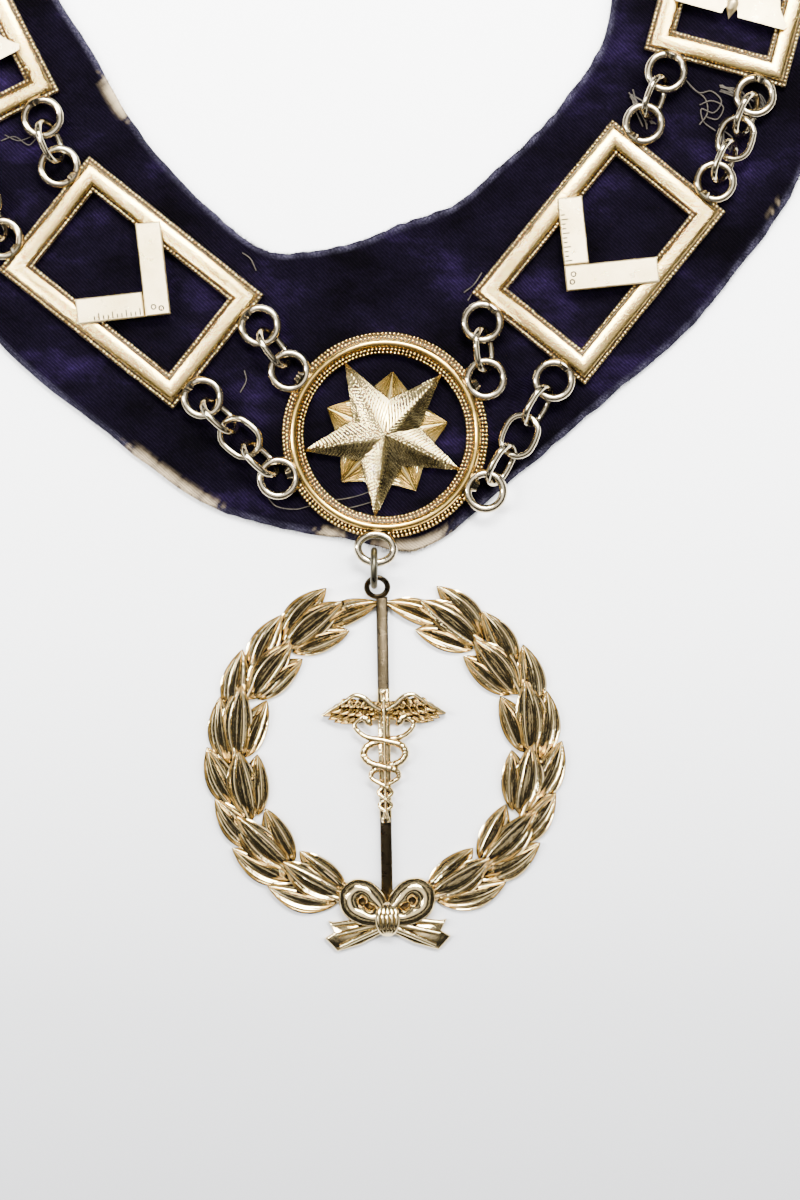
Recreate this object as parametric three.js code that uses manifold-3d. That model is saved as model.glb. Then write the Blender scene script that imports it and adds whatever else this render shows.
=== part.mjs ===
// A chain of office laid out flat: a velvet collar that carries a five-pointed star medallion,
// ten openwork plates joined by oval links, and a wreath pendant with a winged staff.
// Millimetres, +Z up. The front faces up, and the pendant points along -Y.
import * as THREE from "three";
import { mergeVertices } from "three/addons/utils/BufferGeometryUtils.js";
import Module from "manifold-3d";

const wasm = await Module();
wasm.setup();

// Velvet collar
const BAND_WIDTH = 62.5;
const BAND_THICKNESS = 3;
const BAND_EDGE_ROUND = 1.4;
const BAND_INSIDE_LEFT = 0.46;
const BAND_INSIDE_RIGHT = 0.53;
const BACK_POINT = 1.22;
const STATIONS_PER_SPAN = 2;
const SEAT_GAP = 0.3;
const DENT_CLEARANCE = 0.5;
const DENT_LENGTH_SHARE = 0.9;
const DENT_WIDTH_SHARE = 0.85;
const VELVET_BELOW_MEDALLION = 2.9;
const FRONT_DEPTH = 0.46;

// Medallion
const MEDALLION_DIAMETER = 51.7;
const MEDALLION_OPENING = 40.5;
const MEDALLION_HEIGHT = 3.2;
const MEDALLION_SEGMENTS = 24;
const STAR_POINTS = 5;
const STAR_TURN = 119;
const STAR_BASE = 0.6;
const STAR_LIFT = 0.5;
const STAR_EDGE = 1;
const STAR_RISE = 2.3;
const STAR_VALLEY = 0.42;
const BACK_STAR_RADIUS = 16;
const BACK_STAR_VALLEY = 0.5;
const BACK_STAR_EDGE = 0.8;
const BACK_STAR_RISE = 1.6;
const MEDALLION_EYE_SINK = 1.5;
const MEDALLION_EYE_ANGLES = { left: [146.3, 202], right: [29.1, -29.2] };
const BOTTOM_EYE_ANGLE = 265.3;
const BOTTOM_EYE_WIDTH = 11.1;
const BOTTOM_EYE_LENGTH = 9.2;
const BOTTOM_EYE_REACH = 2.6;

// Plates
const PLATE_LENGTH = 56;
const PLATE_WIDTH = 36.7;
const PLATE_RAIL = 6.6;
const PLATE_THICKNESS = 2.9;
const RIM_WIDTH = 1;
const RIM_DROP = 0.9;
const EMBLEM_THICKNESS = 1.9;
const EMBLEM_SINK = 0.9;
const SQUARE_ARM_WIDTH = 6.25;
const SQUARE_ARM_LENGTH = 23.2;
const SQUARE_CORNER = 12.8;
const LEVEL_BAR_LENGTH = 28.4;
const LEVEL_BAR_WIDTH = 6.5;
const LEVEL_BAR_PLACE = 12;
const LEVEL_UPRIGHT_WIDTH = 5;
const LEVEL_UPRIGHT_LENGTH = 22;
const PLUMB_LENGTH = 4;

// Eyes and links
const EYE_DIAMETER = 11;
const EYE_WIRE = 2.1;
const EYE_REACH = 4;
const EYE_SPACING = 23;
const EYE_LIFT = 2;
const EYE_GAP = 13.4;
const LINK_LENGTH = 12.3;
const LINK_WIDTH = 10;
const LINK_WIRE = 1.7;
const LINK_CLEARANCE = 0.3;
const WIRE_SHARE = 0.5;
const FLAT_DROP = 0.7;
const STEEP_TILT = 62;
const FLAT_TILT = -12;
const BACK_LINKS = 5;
const CLOSING_PASSES = 6;
const RING_SIDES = 10;
const WIRE_SIDES = 5;

// Pendant
const JUMP_RING_DIAMETER = 10.5;
const JUMP_RING_WIRE = 1.9;
const JUMP_RING_DROP = 1.6;
const JUMP_RING_LIFT = 0.1;
const PENDANT_RING_DIAMETER = 6.5;
const PENDANT_RING_WIRE = 1.1;
const PENDANT_RING_TILT = 25;
const PENDANT_RING_LIFT = 0.6;
const PENDANT_RING_ASIDE = -1.1;
const PENDANT_RING_HANG = 2.1;
const PENDANT_SHIFT = 0.6;
const PENDANT_LEAN = 1.03;
const WREATH_RADIUS = 37.6;
const LEAF_THICKNESS = 2.2;
const LEAF_EDGE = 0.6;
const STEM_WIDTH = 2.4;
const STEM_START = 4;
const STEM_STEP = 13.5;
const STEM_PARTS = 13;
const STAFF_WIDTH = 2.9;
const STAFF_THICKNESS = 2.4;
const STAFF_TOP_REACH = 2.45;
const STAFF_FOOT_REACH = 1.1;
const CADUCEUS_SIZE = 15.5;
const CADUCEUS_THICKNESS = 1.7;
const SNAKE_WIRE = 1.9;
const SNAKE_SINK = 0.3;
const SNAKE_STEPS = 24;
const WING_SINK = 1;
const BALL_PLACE = 1.05;
const BALL_SHARE = 0.55;
const BOW_WIDTH = 24;
const BOW_THICKNESS = 2.8;
const BOW_LOOP_SHARE = 0.85;
const BOW_TAIL_SHARE = 0.6;
const KNOT_BELOW = 3;
const KNOT_RADIUS = 3.4;
const KNOT_STRETCH = 1.2;
const KNOT_EDGE = 0.7;
const KNOT_PEAK = 1.15;

// Where the plates follow one another, from the medallion up each side. `across` is the direction
// from eye to eye over the junction, `heading` the plate's own, both in degrees from +X, and
// `gap` is the distance between the eyes as a share of EYE_GAP.
const CHAIN_ROUTE = {
  left: [
    { across: 123.4, heading: 141.5, gap: 0.985, emblem: "square" },
    { across: 109.2, heading: 117, gap: 0.96, emblem: "level" },
    { across: 104.6, heading: 92.2, gap: 1, emblem: "square" },
    { across: 79.8, heading: 67.4, gap: 1, emblem: "level" },
    { across: 55, heading: 42.6, gap: 1, emblem: "square" },
  ],
  right: [
    { across: 93, heading: 50.9, gap: 1.04, emblem: "square" },
    { across: 66.5, heading: 74.8, gap: 1.05, emblem: "level" },
    { across: 86.9, heading: 98.9, gap: 1, emblem: "square" },
    { across: 111, heading: 123.1, gap: 1, emblem: "level" },
    { across: 135.2, heading: 147.2, gap: 1, emblem: "square" },
  ],
};

// Edges of the velvet across its front, from left to right, in band widths from the medallion.
const FRONT_SECTIONS = [
  { innerX: -1.18, innerY: 1.55, outerX: -2.0, outerY: 0.97 },
  { innerX: -0.98, innerY: 1.21, outerX: -1.54, outerY: 0.36 },
  { innerX: -0.68, innerY: 0.89, outerX: -1.13, outerY: 0.02 },
  { innerX: -0.46, innerY: 0.74, outerX: -0.73, outerY: -0.27 },
  { innerX: -0.32, innerY: 0.74, outerX: -0.48, outerY: -0.36 },
  { innerX: -0.11, innerY: 0.78, outerX: -0.14, outerY: -0.42 },
  { innerX: 0.06, innerY: 0.85, outerX: 0.13, outerY: -0.46 },
  { innerX: 0.28, innerY: 0.93, outerX: 0.52, outerY: -0.17 },
  { innerX: 0.47, innerY: 1.09, outerX: 0.86, outerY: 0.12 },
  { innerX: 0.59, innerY: 1.2, outerX: 1.2, outerY: 0.41 },
  { innerX: 0.73, innerY: 1.36, outerX: 1.42, outerY: 0.67 },
  { innerX: 0.88, innerY: 1.6, outerX: 1.66, outerY: 1.02 },
];

// Rows of leaves up each branch of the wreath: how many, the angle of the first tip from the
// bottom, how far its base hangs behind, and the radii of tip and base as shares of the wreath's.
const LEAF_ROWS = [
  { count: 6, first: 42, step: 24.6, behind: 27, tip: 0.86, base: 0.92, width: 6.4 },
  { count: 6, first: 44.5, step: 24.2, behind: 29, tip: 1.01, base: 0.98, width: 7.4 },
  { count: 6, first: 44.5, step: 24, behind: 26, tip: 1.18, base: 1.03, width: 6.8 },
  { count: 1, first: 179, step: 0, behind: 26, tip: 1.03, base: 0.97, width: 6.2 },
];

// The left snake from its head to its tail, in caduceus sizes from the wreath's centre.
const SNAKE_ROUTE = [
  { across: -0.2, up: 0.5 },
  { across: -0.33, up: 0.64 },
  { across: -0.48, up: 0.52 },
  { across: -0.33, up: 0.34 },
  { across: 0, up: 0.26 },
  { across: 0.28, up: 0.17 },
  { across: 0.34, up: 0.04 },
  { across: 0.25, up: -0.09 },
  { across: 0, up: -0.17 },
  { across: -0.2, up: -0.24 },
  { across: -0.22, up: -0.34 },
  { across: 0, up: -0.48 },
  { across: 0.11, up: -0.58 },
  { across: 0, up: -0.69 },
  { across: -0.1, up: -0.79 },
  { across: 0, up: -0.9 },
  { across: 0.05, up: -1.06 },
];

// The left wing's outline from its root round its crest and feather tips, in caduceus sizes.
const WING_OUTLINE = [
  { across: 0.05, up: 0.92 },
  { across: -0.18, up: 0.99 },
  { across: -0.4, up: 1.0 },
  { across: -0.62, up: 0.88 },
  { across: -1, up: 0.69 },
  { across: -0.84, up: 0.68 },
  { across: -0.88, up: 0.6 },
  { across: -0.7, up: 0.63 },
  { across: -0.7, up: 0.56 },
  { across: -0.5, up: 0.63 },
  { across: -0.3, up: 0.66 },
  { across: 0.05, up: 0.72 },
];

// The bow's left loop and left tail, in bow widths from the middle of its knot.
const BOW_LOOP = [
  { across: 0, up: 0.06 },
  { across: -0.06, up: 0.2 },
  { across: -0.2, up: 0.37 },
  { across: -0.36, up: 0.4 },
  { across: -0.5, up: 0.28 },
  { across: -0.48, up: 0.1 },
  { across: -0.32, up: -0.02 },
  { across: 0, up: -0.08 },
];
const BOW_TAIL = [
  { across: 0.02, up: 0.05 },
  { across: -0.35, up: -0.06 },
  { across: -0.62, up: -0.02 },
  { across: -0.56, up: -0.14 },
  { across: -0.66, up: -0.2 },
  { across: -0.53, up: -0.34 },
  { across: -0.28, up: -0.27 },
  { across: 0.02, up: -0.12 },
];

const METAL_BASE = BAND_THICKNESS + SEAT_GAP;
const HALF_POINT = 180 / STAR_POINTS;
const EYE_HEIGHT = METAL_BASE + EYE_LIFT;
const EYE_RADIUS = (EYE_DIAMETER - EYE_WIRE) / 2;
const PLATE_TOP = METAL_BASE + PLATE_THICKNESS;
const LINK_OPENING = LINK_LENGTH - 2 * LINK_WIRE;
const MEDALLION_EYE_RADIUS = MEDALLION_DIAMETER / 2 + EYE_RADIUS - MEDALLION_EYE_SINK;

const MATERIALS = {
  velvet: new THREE.MeshStandardMaterial({ color: "#1b1638", roughness: 0.95, metalness: 0 }),
  plateGold: new THREE.MeshStandardMaterial({ color: "#e3c884", roughness: 0.25, metalness: 1 }),
  medallionGold: new THREE.MeshStandardMaterial({ color: "#dcb868", roughness: 0.25, metalness: 1 }),
  linkNickel: new THREE.MeshStandardMaterial({ color: "#8f8b7c", roughness: 0.35, metalness: 1 }),
  pendantGold: new THREE.MeshStandardMaterial({ color: "#d8a766", roughness: 0.15, metalness: 1 }),
  darkSteel: new THREE.MeshStandardMaterial({ color: "#4a463a", roughness: 0.45, metalness: 1 }),
};

const radians = (degrees) => (degrees * Math.PI) / 180;
const heading2d = (degrees, length = 1) =>
  new THREE.Vector2(Math.cos(radians(degrees)) * length, Math.sin(radians(degrees)) * length);
const range = (count) => Array.from({ length: count }, (_, index) => index);

// Solids: closed geometries go to manifold-3d to be joined or cut, and come back as geometries.
function toSolid(geometry) {
  const bare = geometry.index ? geometry.toNonIndexed() : geometry.clone();
  bare.deleteAttribute("normal");
  bare.deleteAttribute("uv");
  const merged = mergeVertices(bare, 1e-4);
  return new wasm.Manifold(
    new wasm.Mesh({
      numProp: 3,
      vertProperties: merged.attributes.position.array,
      triVerts: new Uint32Array(merged.index.array),
    }),
  );
}

function toGeometry(solid) {
  const mesh = solid.getMesh();
  const geometry = new THREE.BufferGeometry();
  geometry.setAttribute("position", new THREE.BufferAttribute(mesh.vertProperties, 3));
  geometry.setIndex(new THREE.BufferAttribute(mesh.triVerts, 1));
  geometry.computeVertexNormals();
  return geometry;
}

const joined = (geometries) =>
  geometries.map(toSolid).reduce((whole, piece) => whole.add(piece));

// A closed skin over sections that follow one another round a loop; each section is a closed
// row of points, counter-clockwise as seen against the direction of travel.
function loopedSkin(sections) {
  const across = sections[0].length;
  const positions = sections.flat().flatMap((point) => [point.x, point.y, point.z]);
  const indices = [];
  for (const i of range(sections.length)) {
    const next = ((i + 1) % sections.length) * across;
    for (const j of range(across)) {
      const side = (j + 1) % across;
      const [a, b, c, d] = [i * across + j, i * across + side, next + j, next + side];
      indices.push(a, b, c, b, d, c);
    }
  }
  const geometry = new THREE.BufferGeometry();
  geometry.setAttribute("position", new THREE.Float32BufferAttribute(positions, 3));
  geometry.setIndex(indices);
  return geometry;
}

// A wire ring in the XY plane, round or with straight sides along X.
function ovalRing(length, width, wire) {
  const endRadius = (width - wire) / 2;
  const straight = Math.max(0, (length - width) / 2);
  const squeeze = Math.min(1, (length - wire) / (width - wire));
  return loopedSkin(
    range(RING_SIDES).map((step) => {
      const angle = (2 * Math.PI * (step + 0.5)) / RING_SIDES;
      const out = new THREE.Vector3(Math.cos(angle), Math.sin(angle), 0);
      const middle = new THREE.Vector3(
        out.x * endRadius * squeeze + Math.sign(out.x) * straight,
        out.y * endRadius,
        0,
      );
      return range(WIRE_SIDES).map((side) => {
        const turn = (2 * Math.PI * side) / WIRE_SIDES;
        return middle
          .clone()
          .addScaledVector(out, (Math.cos(turn) * wire) / 2)
          .setZ((-Math.sin(turn) * wire) / 2);
      });
    }),
  );
}

// A flat body between two heights from an outline of points.
function flatBody(points, bottom, top) {
  const geometry = new THREE.ExtrudeGeometry(new THREE.Shape(points), {
    depth: top - bottom,
    bevelEnabled: false,
  });
  return geometry.translate(0, 0, bottom);
}

// A body with a flat base and upright edge whose top rises from its outline to one peak.
function peakedBody(outline, peak, bottom, edgeTop, peakTop) {
  const count = outline.length;
  const positions = [peak.x, peak.y, bottom, peak.x, peak.y, peakTop];
  for (const point of outline) positions.push(point.x, point.y, bottom, point.x, point.y, edgeTop);
  const indices = [];
  for (const i of range(count)) {
    const [low, high] = [2 + 2 * i, 3 + 2 * i];
    const [nextLow, nextHigh] = [2 + 2 * ((i + 1) % count), 3 + 2 * ((i + 1) % count)];
    indices.push(0, nextLow, low, 1, high, nextHigh);
    indices.push(low, nextLow, nextHigh, low, nextHigh, high);
  }
  const geometry = new THREE.BufferGeometry();
  geometry.setAttribute("position", new THREE.Float32BufferAttribute(positions, 3));
  geometry.setIndex(indices);
  return geometry;
}

const mirrored = (points) =>
  points.map((point) => new THREE.Vector2(-point.x, point.y)).reverse();
const sized = (rows, size) =>
  rows.map((row) => new THREE.Vector2(row.across * size, row.up * size));

// A rail section from its inner to its outer edge: a smooth raised band between two lower rims.
function railSection(width, height) {
  return [
    [0, 0],
    [0, height - RIM_DROP],
    [RIM_WIDTH, height - RIM_DROP],
    [width / 2, height],
    [width - RIM_WIDTH, height - RIM_DROP],
    [width, height - RIM_DROP],
    [width, 0],
  ];
}

// Plates: a rectangular frame with four eyes and an emblem, along X, facing +Z.
function plateFrame() {
  const corners = [
    [1, 1],
    [-1, 1],
    [-1, -1],
    [1, -1],
  ];
  const [halfLength, halfWidth] = [PLATE_LENGTH / 2 - PLATE_RAIL, PLATE_WIDTH / 2 - PLATE_RAIL];
  return loopedSkin(
    corners.map(([x, y]) =>
      railSection(PLATE_RAIL, PLATE_THICKNESS).map(
        ([out, up]) =>
          new THREE.Vector3(x * (halfLength + out), y * (halfWidth + out), METAL_BASE + up),
      ),
    ),
  );
}

function squareEmblem() {
  const corner = new THREE.Vector2(-SQUARE_CORNER, 0);
  const ends = [1, -1].map((side) => {
    const end = corner.clone().add(heading2d(45 * side, SQUARE_ARM_LENGTH));
    return [end, end.clone().add(heading2d(-45 * side, SQUARE_ARM_WIDTH))];
  });
  const inside = new THREE.Vector2(-SQUARE_CORNER + SQUARE_ARM_WIDTH * Math.SQRT2, 0);
  return [corner, ends[1][0], ends[1][1], inside, ends[0][1], ends[0][0]];
}

function levelEmblem() {
  const [half, wide, stem] = [LEVEL_BAR_LENGTH / 2, LEVEL_BAR_WIDTH / 2, LEVEL_UPRIGHT_WIDTH / 2];
  const right = [
    [-LEVEL_BAR_PLACE - wide - PLUMB_LENGTH, 0],
    [-LEVEL_BAR_PLACE - wide - PLUMB_LENGTH * 0.4, -stem * 0.7],
    [-LEVEL_BAR_PLACE - wide, -stem * 0.5],
    [-LEVEL_BAR_PLACE - wide, -half * 0.88],
    [-LEVEL_BAR_PLACE, -half],
    [-LEVEL_BAR_PLACE + wide, -half * 0.88],
    [-LEVEL_BAR_PLACE + wide, -stem],
    [-LEVEL_BAR_PLACE + LEVEL_UPRIGHT_LENGTH - stem, -stem],
    [-LEVEL_BAR_PLACE + LEVEL_UPRIGHT_LENGTH, 0],
  ].map(([x, y]) => new THREE.Vector2(x, y));
  const left = right.slice(1, -1).map((point) => new THREE.Vector2(point.x, -point.y));
  return [...right, ...left.reverse()];
}

const PLATE_EYES = [-1, 1].flatMap((end) =>
  [-1, 1].map(
    (side) => new THREE.Vector2(end * (PLATE_LENGTH / 2 + EYE_REACH), (side * EYE_SPACING) / 2),
  ),
);

function plateGeometry(emblem) {
  const outline = emblem === "square" ? squareEmblem() : levelEmblem();
  const bottom = PLATE_TOP - EMBLEM_SINK;
  const eyes = PLATE_EYES.map((eye) =>
    ovalRing(EYE_DIAMETER, EYE_DIAMETER, EYE_WIRE).translate(eye.x, eye.y, EYE_HEIGHT),
  );
  return toGeometry(
    joined([plateFrame(), flatBody(outline, bottom, bottom + EMBLEM_THICKNESS), ...eyes]),
  );
}

// Medallion: a round rail, two stars one behind the other, four side eyes and a bottom eye.
function star(tipRadius, valleyRadius, turn, bottom, edge, rise) {
  const outline = range(2 * STAR_POINTS).map((point) =>
    heading2d(turn + HALF_POINT * point, point % 2 ? valleyRadius : tipRadius),
  );
  return peakedBody(outline, new THREE.Vector2(), bottom, bottom + edge, bottom + edge + rise);
}

function medallionGeometry() {
  const rail = (MEDALLION_DIAMETER - MEDALLION_OPENING) / 2;
  const ring = loopedSkin(
    range(MEDALLION_SEGMENTS).map((step) => {
      const out = heading2d((360 * step) / MEDALLION_SEGMENTS);
      return railSection(rail, MEDALLION_HEIGHT).map(([away, up]) => {
        const radius = MEDALLION_OPENING / 2 + away;
        return new THREE.Vector3(out.x * radius, out.y * radius, METAL_BASE + up);
      });
    }),
  );
  const tip = MEDALLION_OPENING / 2 + RIM_WIDTH;
  const base = METAL_BASE + STAR_BASE;
  const backTurn = STAR_TURN + HALF_POINT;
  const backValley = BACK_STAR_RADIUS * BACK_STAR_VALLEY;
  const sideEyes = Object.values(MEDALLION_EYE_ANGLES)
    .flat()
    .map((angle) => {
      const place = heading2d(angle, MEDALLION_EYE_RADIUS);
      const eye = ovalRing(EYE_DIAMETER, EYE_DIAMETER, EYE_WIRE).rotateZ(radians(angle));
      return eye.translate(place.x, place.y, EYE_HEIGHT);
    });
  const bottomPlace = heading2d(BOTTOM_EYE_ANGLE, MEDALLION_DIAMETER / 2 + BOTTOM_EYE_REACH);
  const bottomEye = ovalRing(BOTTOM_EYE_LENGTH, BOTTOM_EYE_WIDTH, EYE_WIRE)
    .rotateZ(radians(BOTTOM_EYE_ANGLE))
    .translate(bottomPlace.x, bottomPlace.y, EYE_HEIGHT);
  return toGeometry(
    joined([
      ring,
      star(tip, tip * STAR_VALLEY, STAR_TURN, base + STAR_LIFT, STAR_EDGE, STAR_RISE),
      star(BACK_STAR_RADIUS, backValley, backTurn, base, BACK_STAR_EDGE, BACK_STAR_RISE),
      ...sideEyes,
      bottomEye,
    ]),
  );
}

// Links: one oval wire shape, placed along its junction and rolled about its length.
const LINK_GEOMETRY = ovalRing(LINK_LENGTH, LINK_WIDTH, LINK_WIRE);

function placedLink(place, height, direction, tilt) {
  const mesh = new THREE.Mesh(LINK_GEOMETRY, MATERIALS.linkNickel);
  mesh.position.set(place.x, place.y, height);
  mesh.rotation.set(radians(tilt), 0, radians(direction), "ZYX");
  return mesh;
}

// Height of a steep link's middle, so that its lower side passes under the eye's wire.
function steepHeight(distanceToWire) {
  const endRadius = (LINK_WIDTH - LINK_WIRE) / 2;
  const straight = (LINK_LENGTH - LINK_WIDTH) / 2;
  const intoEnd = Math.max(0, distanceToWire + EYE_WIRE * WIRE_SHARE - straight);
  const halfWidth = Math.sqrt(Math.max(0, endRadius ** 2 - intoEnd ** 2));
  const lift = halfWidth * Math.sin(radians(STEEP_TILT));
  return EYE_HEIGHT + lift - (EYE_WIRE + LINK_WIRE) / 2 - LINK_CLEARANCE;
}

function innerLink(from, to) {
  const between = to.clone().sub(from);
  const direction = THREE.MathUtils.radToDeg(between.angle());
  const middle = from.clone().lerp(to, 0.5);
  const height = steepHeight(between.length() / 2 - EYE_RADIUS);
  return { link: placedLink(middle, height, direction, STEEP_TILT), height, middle, direction };
}

// Links in a row from one eye's near wire to another's, every second one lying flat.
function chainBetween(from, to, count) {
  const between = to.clone().sub(from);
  const direction = THREE.MathUtils.radToDeg(between.angle());
  const distance = between.length() - 2 * EYE_RADIUS;
  const slack = (count * LINK_OPENING - EYE_WIRE - distance) / (count + 1);
  const first = LINK_OPENING / 2 - EYE_WIRE / 2 - slack;
  const start = from.clone().add(heading2d(direction, EYE_RADIUS + first));
  const step = (distance - 2 * first) / (count - 1);
  const height = steepHeight(Math.abs(first));
  const links = range(count).map((index) => {
    const place = start.clone().add(heading2d(direction, step * index));
    const [drop, tilt] = index % 2 ? [FLAT_DROP, FLAT_TILT] : [0, STEEP_TILT];
    return placedLink(place, height - drop, direction, tilt);
  });
  return { links, height, middle: from.clone().lerp(to, 0.5), direction, distance };
}

// Route: every plate's place and eyes, worked out eye to eye from the medallion. `turn` swings
// the whole side about the medallion.
function plateRoute(side, turn) {
  const inwards = side === "left" ? -90 : 90;
  let eyes = MEDALLION_EYE_ANGLES[side].map((angle) => heading2d(angle, MEDALLION_EYE_RADIUS));
  return CHAIN_ROUTE[side].map((row) => {
    const heading = row.heading + turn;
    const along = heading2d(heading);
    const inside = heading2d(heading + inwards);
    const reach = PLATE_LENGTH / 2 + EYE_REACH;
    const nearInner = eyes[0].clone().add(heading2d(row.across + turn, EYE_GAP * row.gap));
    const centre = nearInner
      .clone()
      .addScaledVector(along, reach)
      .addScaledVector(inside, -EYE_SPACING / 2);
    const eye = (end, across) =>
      centre
        .clone()
        .addScaledVector(along, end * reach)
        .addScaledVector(inside, (across * EYE_SPACING) / 2);
    const before = eyes;
    eyes = [eye(1, 1), eye(1, -1)];
    const near = [eye(-1, 1), eye(-1, -1)];
    return { heading, emblem: row.emblem, centre, inside, before, near, far: eyes };
  });
}

// Both sides, swung a little so that the last plates' inner eyes are EYE_GAP apart at the back.
function closedRoutes() {
  let turn = 0;
  let sides = {};
  for (let pass = 0; pass < CLOSING_PASSES; pass += 1) {
    sides = { left: plateRoute("left", -turn), right: plateRoute("right", turn) };
    const [left, right] = [sides.left.at(-1).far[0], sides.right.at(-1).far[0]];
    const excess = left.distanceTo(right) - EYE_GAP;
    turn += THREE.MathUtils.radToDeg(excess / (left.length() + right.length()));
  }
  return sides;
}

// Velvet: sections across the band, in order round the whole loop.
function bandSection(plate, insideShare) {
  return {
    inner: plate.centre.clone().addScaledVector(plate.inside, BAND_WIDTH * insideShare),
    outer: plate.centre.clone().addScaledVector(plate.inside, BAND_WIDTH * (insideShare - 1)),
  };
}

function backSection(left, right) {
  const middle = left.far[0].clone().lerp(right.far[0], 0.5);
  const outwards = left.far[1].clone().add(right.far[1]).sub(middle).sub(middle).normalize();
  const beside = (BAND_WIDTH - EYE_SPACING) / 2;
  return {
    inner: middle.clone().addScaledVector(outwards, -beside),
    outer: middle.clone().addScaledVector(outwards, (EYE_SPACING + beside) * BACK_POINT),
  };
}

// The front's lowest edge keeps its distance below the medallion, clear of the jump ring.
function velvetSections(left, right) {
  const rise = FRONT_DEPTH * BAND_WIDTH - MEDALLION_DIAMETER / 2 - VELVET_BELOW_MEDALLION;
  const frontPoint = (across, up) => new THREE.Vector2(across * BAND_WIDTH, up * BAND_WIDTH + rise);
  const front = FRONT_SECTIONS.map((row) => ({
    inner: frontPoint(row.innerX, row.innerY),
    outer: frontPoint(row.outerX, row.outerY),
  }));
  return [
    ...front,
    ...right.slice(1).map((plate) => bandSection(plate, BAND_INSIDE_RIGHT)),
    backSection(left.at(-1), right.at(-1)),
    ...left.slice(1).reverse().map((plate) => bandSection(plate, BAND_INSIDE_LEFT)),
  ];
}

function velvetBand(sections) {
  const edge = (side) =>
    new THREE.CatmullRomCurve3(
      sections.map((section) => new THREE.Vector3(section[side].x, section[side].y, 0)),
      true,
    );
  const [inner, outer] = [edge("inner"), edge("outer")];
  const count = sections.length * STATIONS_PER_SPAN;
  const [round, top] = [BAND_EDGE_ROUND, BAND_THICKNESS];
  return loopedSkin(
    range(count).map((step) => {
      const from = inner.getPoint(step / count);
      const to = outer.getPoint(step / count);
      const width = from.distanceTo(to);
      const section = [
        [round, 0],
        [0, top / 2],
        [round * 0.4, top * 0.86],
        [round * 1.6, top],
        [width - round * 1.6, top],
        [width - round * 0.4, top * 0.86],
        [width, top / 2],
        [width - round, 0],
      ];
      return section.map(([across, up]) => from.clone().lerp(to, across / width).setZ(up));
    }),
  );
}

// A hollow pressed into the velvet's top, so that the links above it have room.
function dent(middle, direction, halfLength, lowest) {
  const depth = BAND_THICKNESS - lowest;
  return new THREE.SphereGeometry(1, 8, 4)
    .rotateX(Math.PI / 2)
    .scale(halfLength, LINK_WIDTH * DENT_WIDTH_SHARE, depth)
    .rotateZ(radians(direction))
    .translate(middle.x, middle.y, BAND_THICKNESS + 0.05);
}

// How low a steep link with its middle at this height reaches.
const steepBottom = (height) =>
  height - ((LINK_WIDTH - LINK_WIRE) / 2) * Math.sin(radians(STEEP_TILT)) - LINK_WIRE / 2;

function innerDent(link) {
  const lowest = steepBottom(link.height) - DENT_CLEARANCE;
  return dent(link.middle, link.direction, LINK_LENGTH * DENT_LENGTH_SHARE, lowest);
}

function outerDent(chain) {
  const lowest = steepBottom(chain.height) - 2 * DENT_CLEARANCE;
  return dent(chain.middle, chain.direction, (chain.distance + LINK_LENGTH) / 2, lowest);
}

// Pendant: every body lies on z = 0 and points along +Y from the wreath's centre.
function leafBody(tip, base, width) {
  const along = tip.clone().sub(base);
  const aside = new THREE.Vector2(-along.y, along.x).normalize().multiplyScalar(width / 2);
  const at = (share, out) => base.clone().addScaledVector(along, share).addScaledVector(aside, out);
  const outline = [at(0, 0), at(0.3, -0.9), at(0.62, -0.85), at(1, 0), at(0.62, 0.85), at(0.3, 0.9)];
  return peakedBody(outline, at(0.45, 0), 0, LEAF_THICKNESS * LEAF_EDGE, LEAF_THICKNESS);
}

function branch(side) {
  const around = (angle, share) =>
    heading2d(-90 + side * angle, WREATH_RADIUS * share);
  const leaves = LEAF_ROWS.flatMap((row) =>
    range(row.count).map((index) => {
      const angle = row.first + row.step * index;
      return leafBody(around(angle, row.tip), around(angle - row.behind, row.base), row.width);
    }),
  );
  const stemAngles = range(STEM_PARTS).map((step) => STEM_START + STEM_STEP * step);
  const stemEdge = (offset) =>
    stemAngles.map((angle) => around(angle, 1 + offset / WREATH_RADIUS));
  const inside = stemEdge(-STEM_WIDTH / 2);
  const outside = stemEdge(STEM_WIDTH / 2);
  const outline = side > 0 ? [...outside, ...inside.reverse()] : [...inside, ...outside.reverse()];
  return [...leaves, flatBody(outline, 0, LEAF_THICKNESS * LEAF_EDGE)];
}

function staff() {
  const half = STAFF_WIDTH / 2;
  const [top, bottom] = [WREATH_RADIUS + STAFF_TOP_REACH, -WREATH_RADIUS - STAFF_FOOT_REACH];
  const outline = [
    new THREE.Vector2(-half, bottom),
    new THREE.Vector2(half, bottom),
    new THREE.Vector2(half, top),
    new THREE.Vector2(-half, top),
  ];
  return flatBody(outline, 0, STAFF_THICKNESS);
}

function snake(side) {
  const height = STAFF_THICKNESS - SNAKE_SINK;
  const route = new THREE.CatmullRomCurve3(
    SNAKE_ROUTE.map(
      (row) =>
        new THREE.Vector3(-side * row.across * CADUCEUS_SIZE, row.up * CADUCEUS_SIZE, height),
    ),
  );
  const section = new THREE.Shape(
    range(WIRE_SIDES).map((step) => heading2d((360 * step) / WIRE_SIDES + 18, SNAKE_WIRE / 2)),
  );
  return new THREE.ExtrudeGeometry(section, {
    steps: SNAKE_STEPS,
    extrudePath: route,
    bevelEnabled: false,
  });
}

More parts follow.
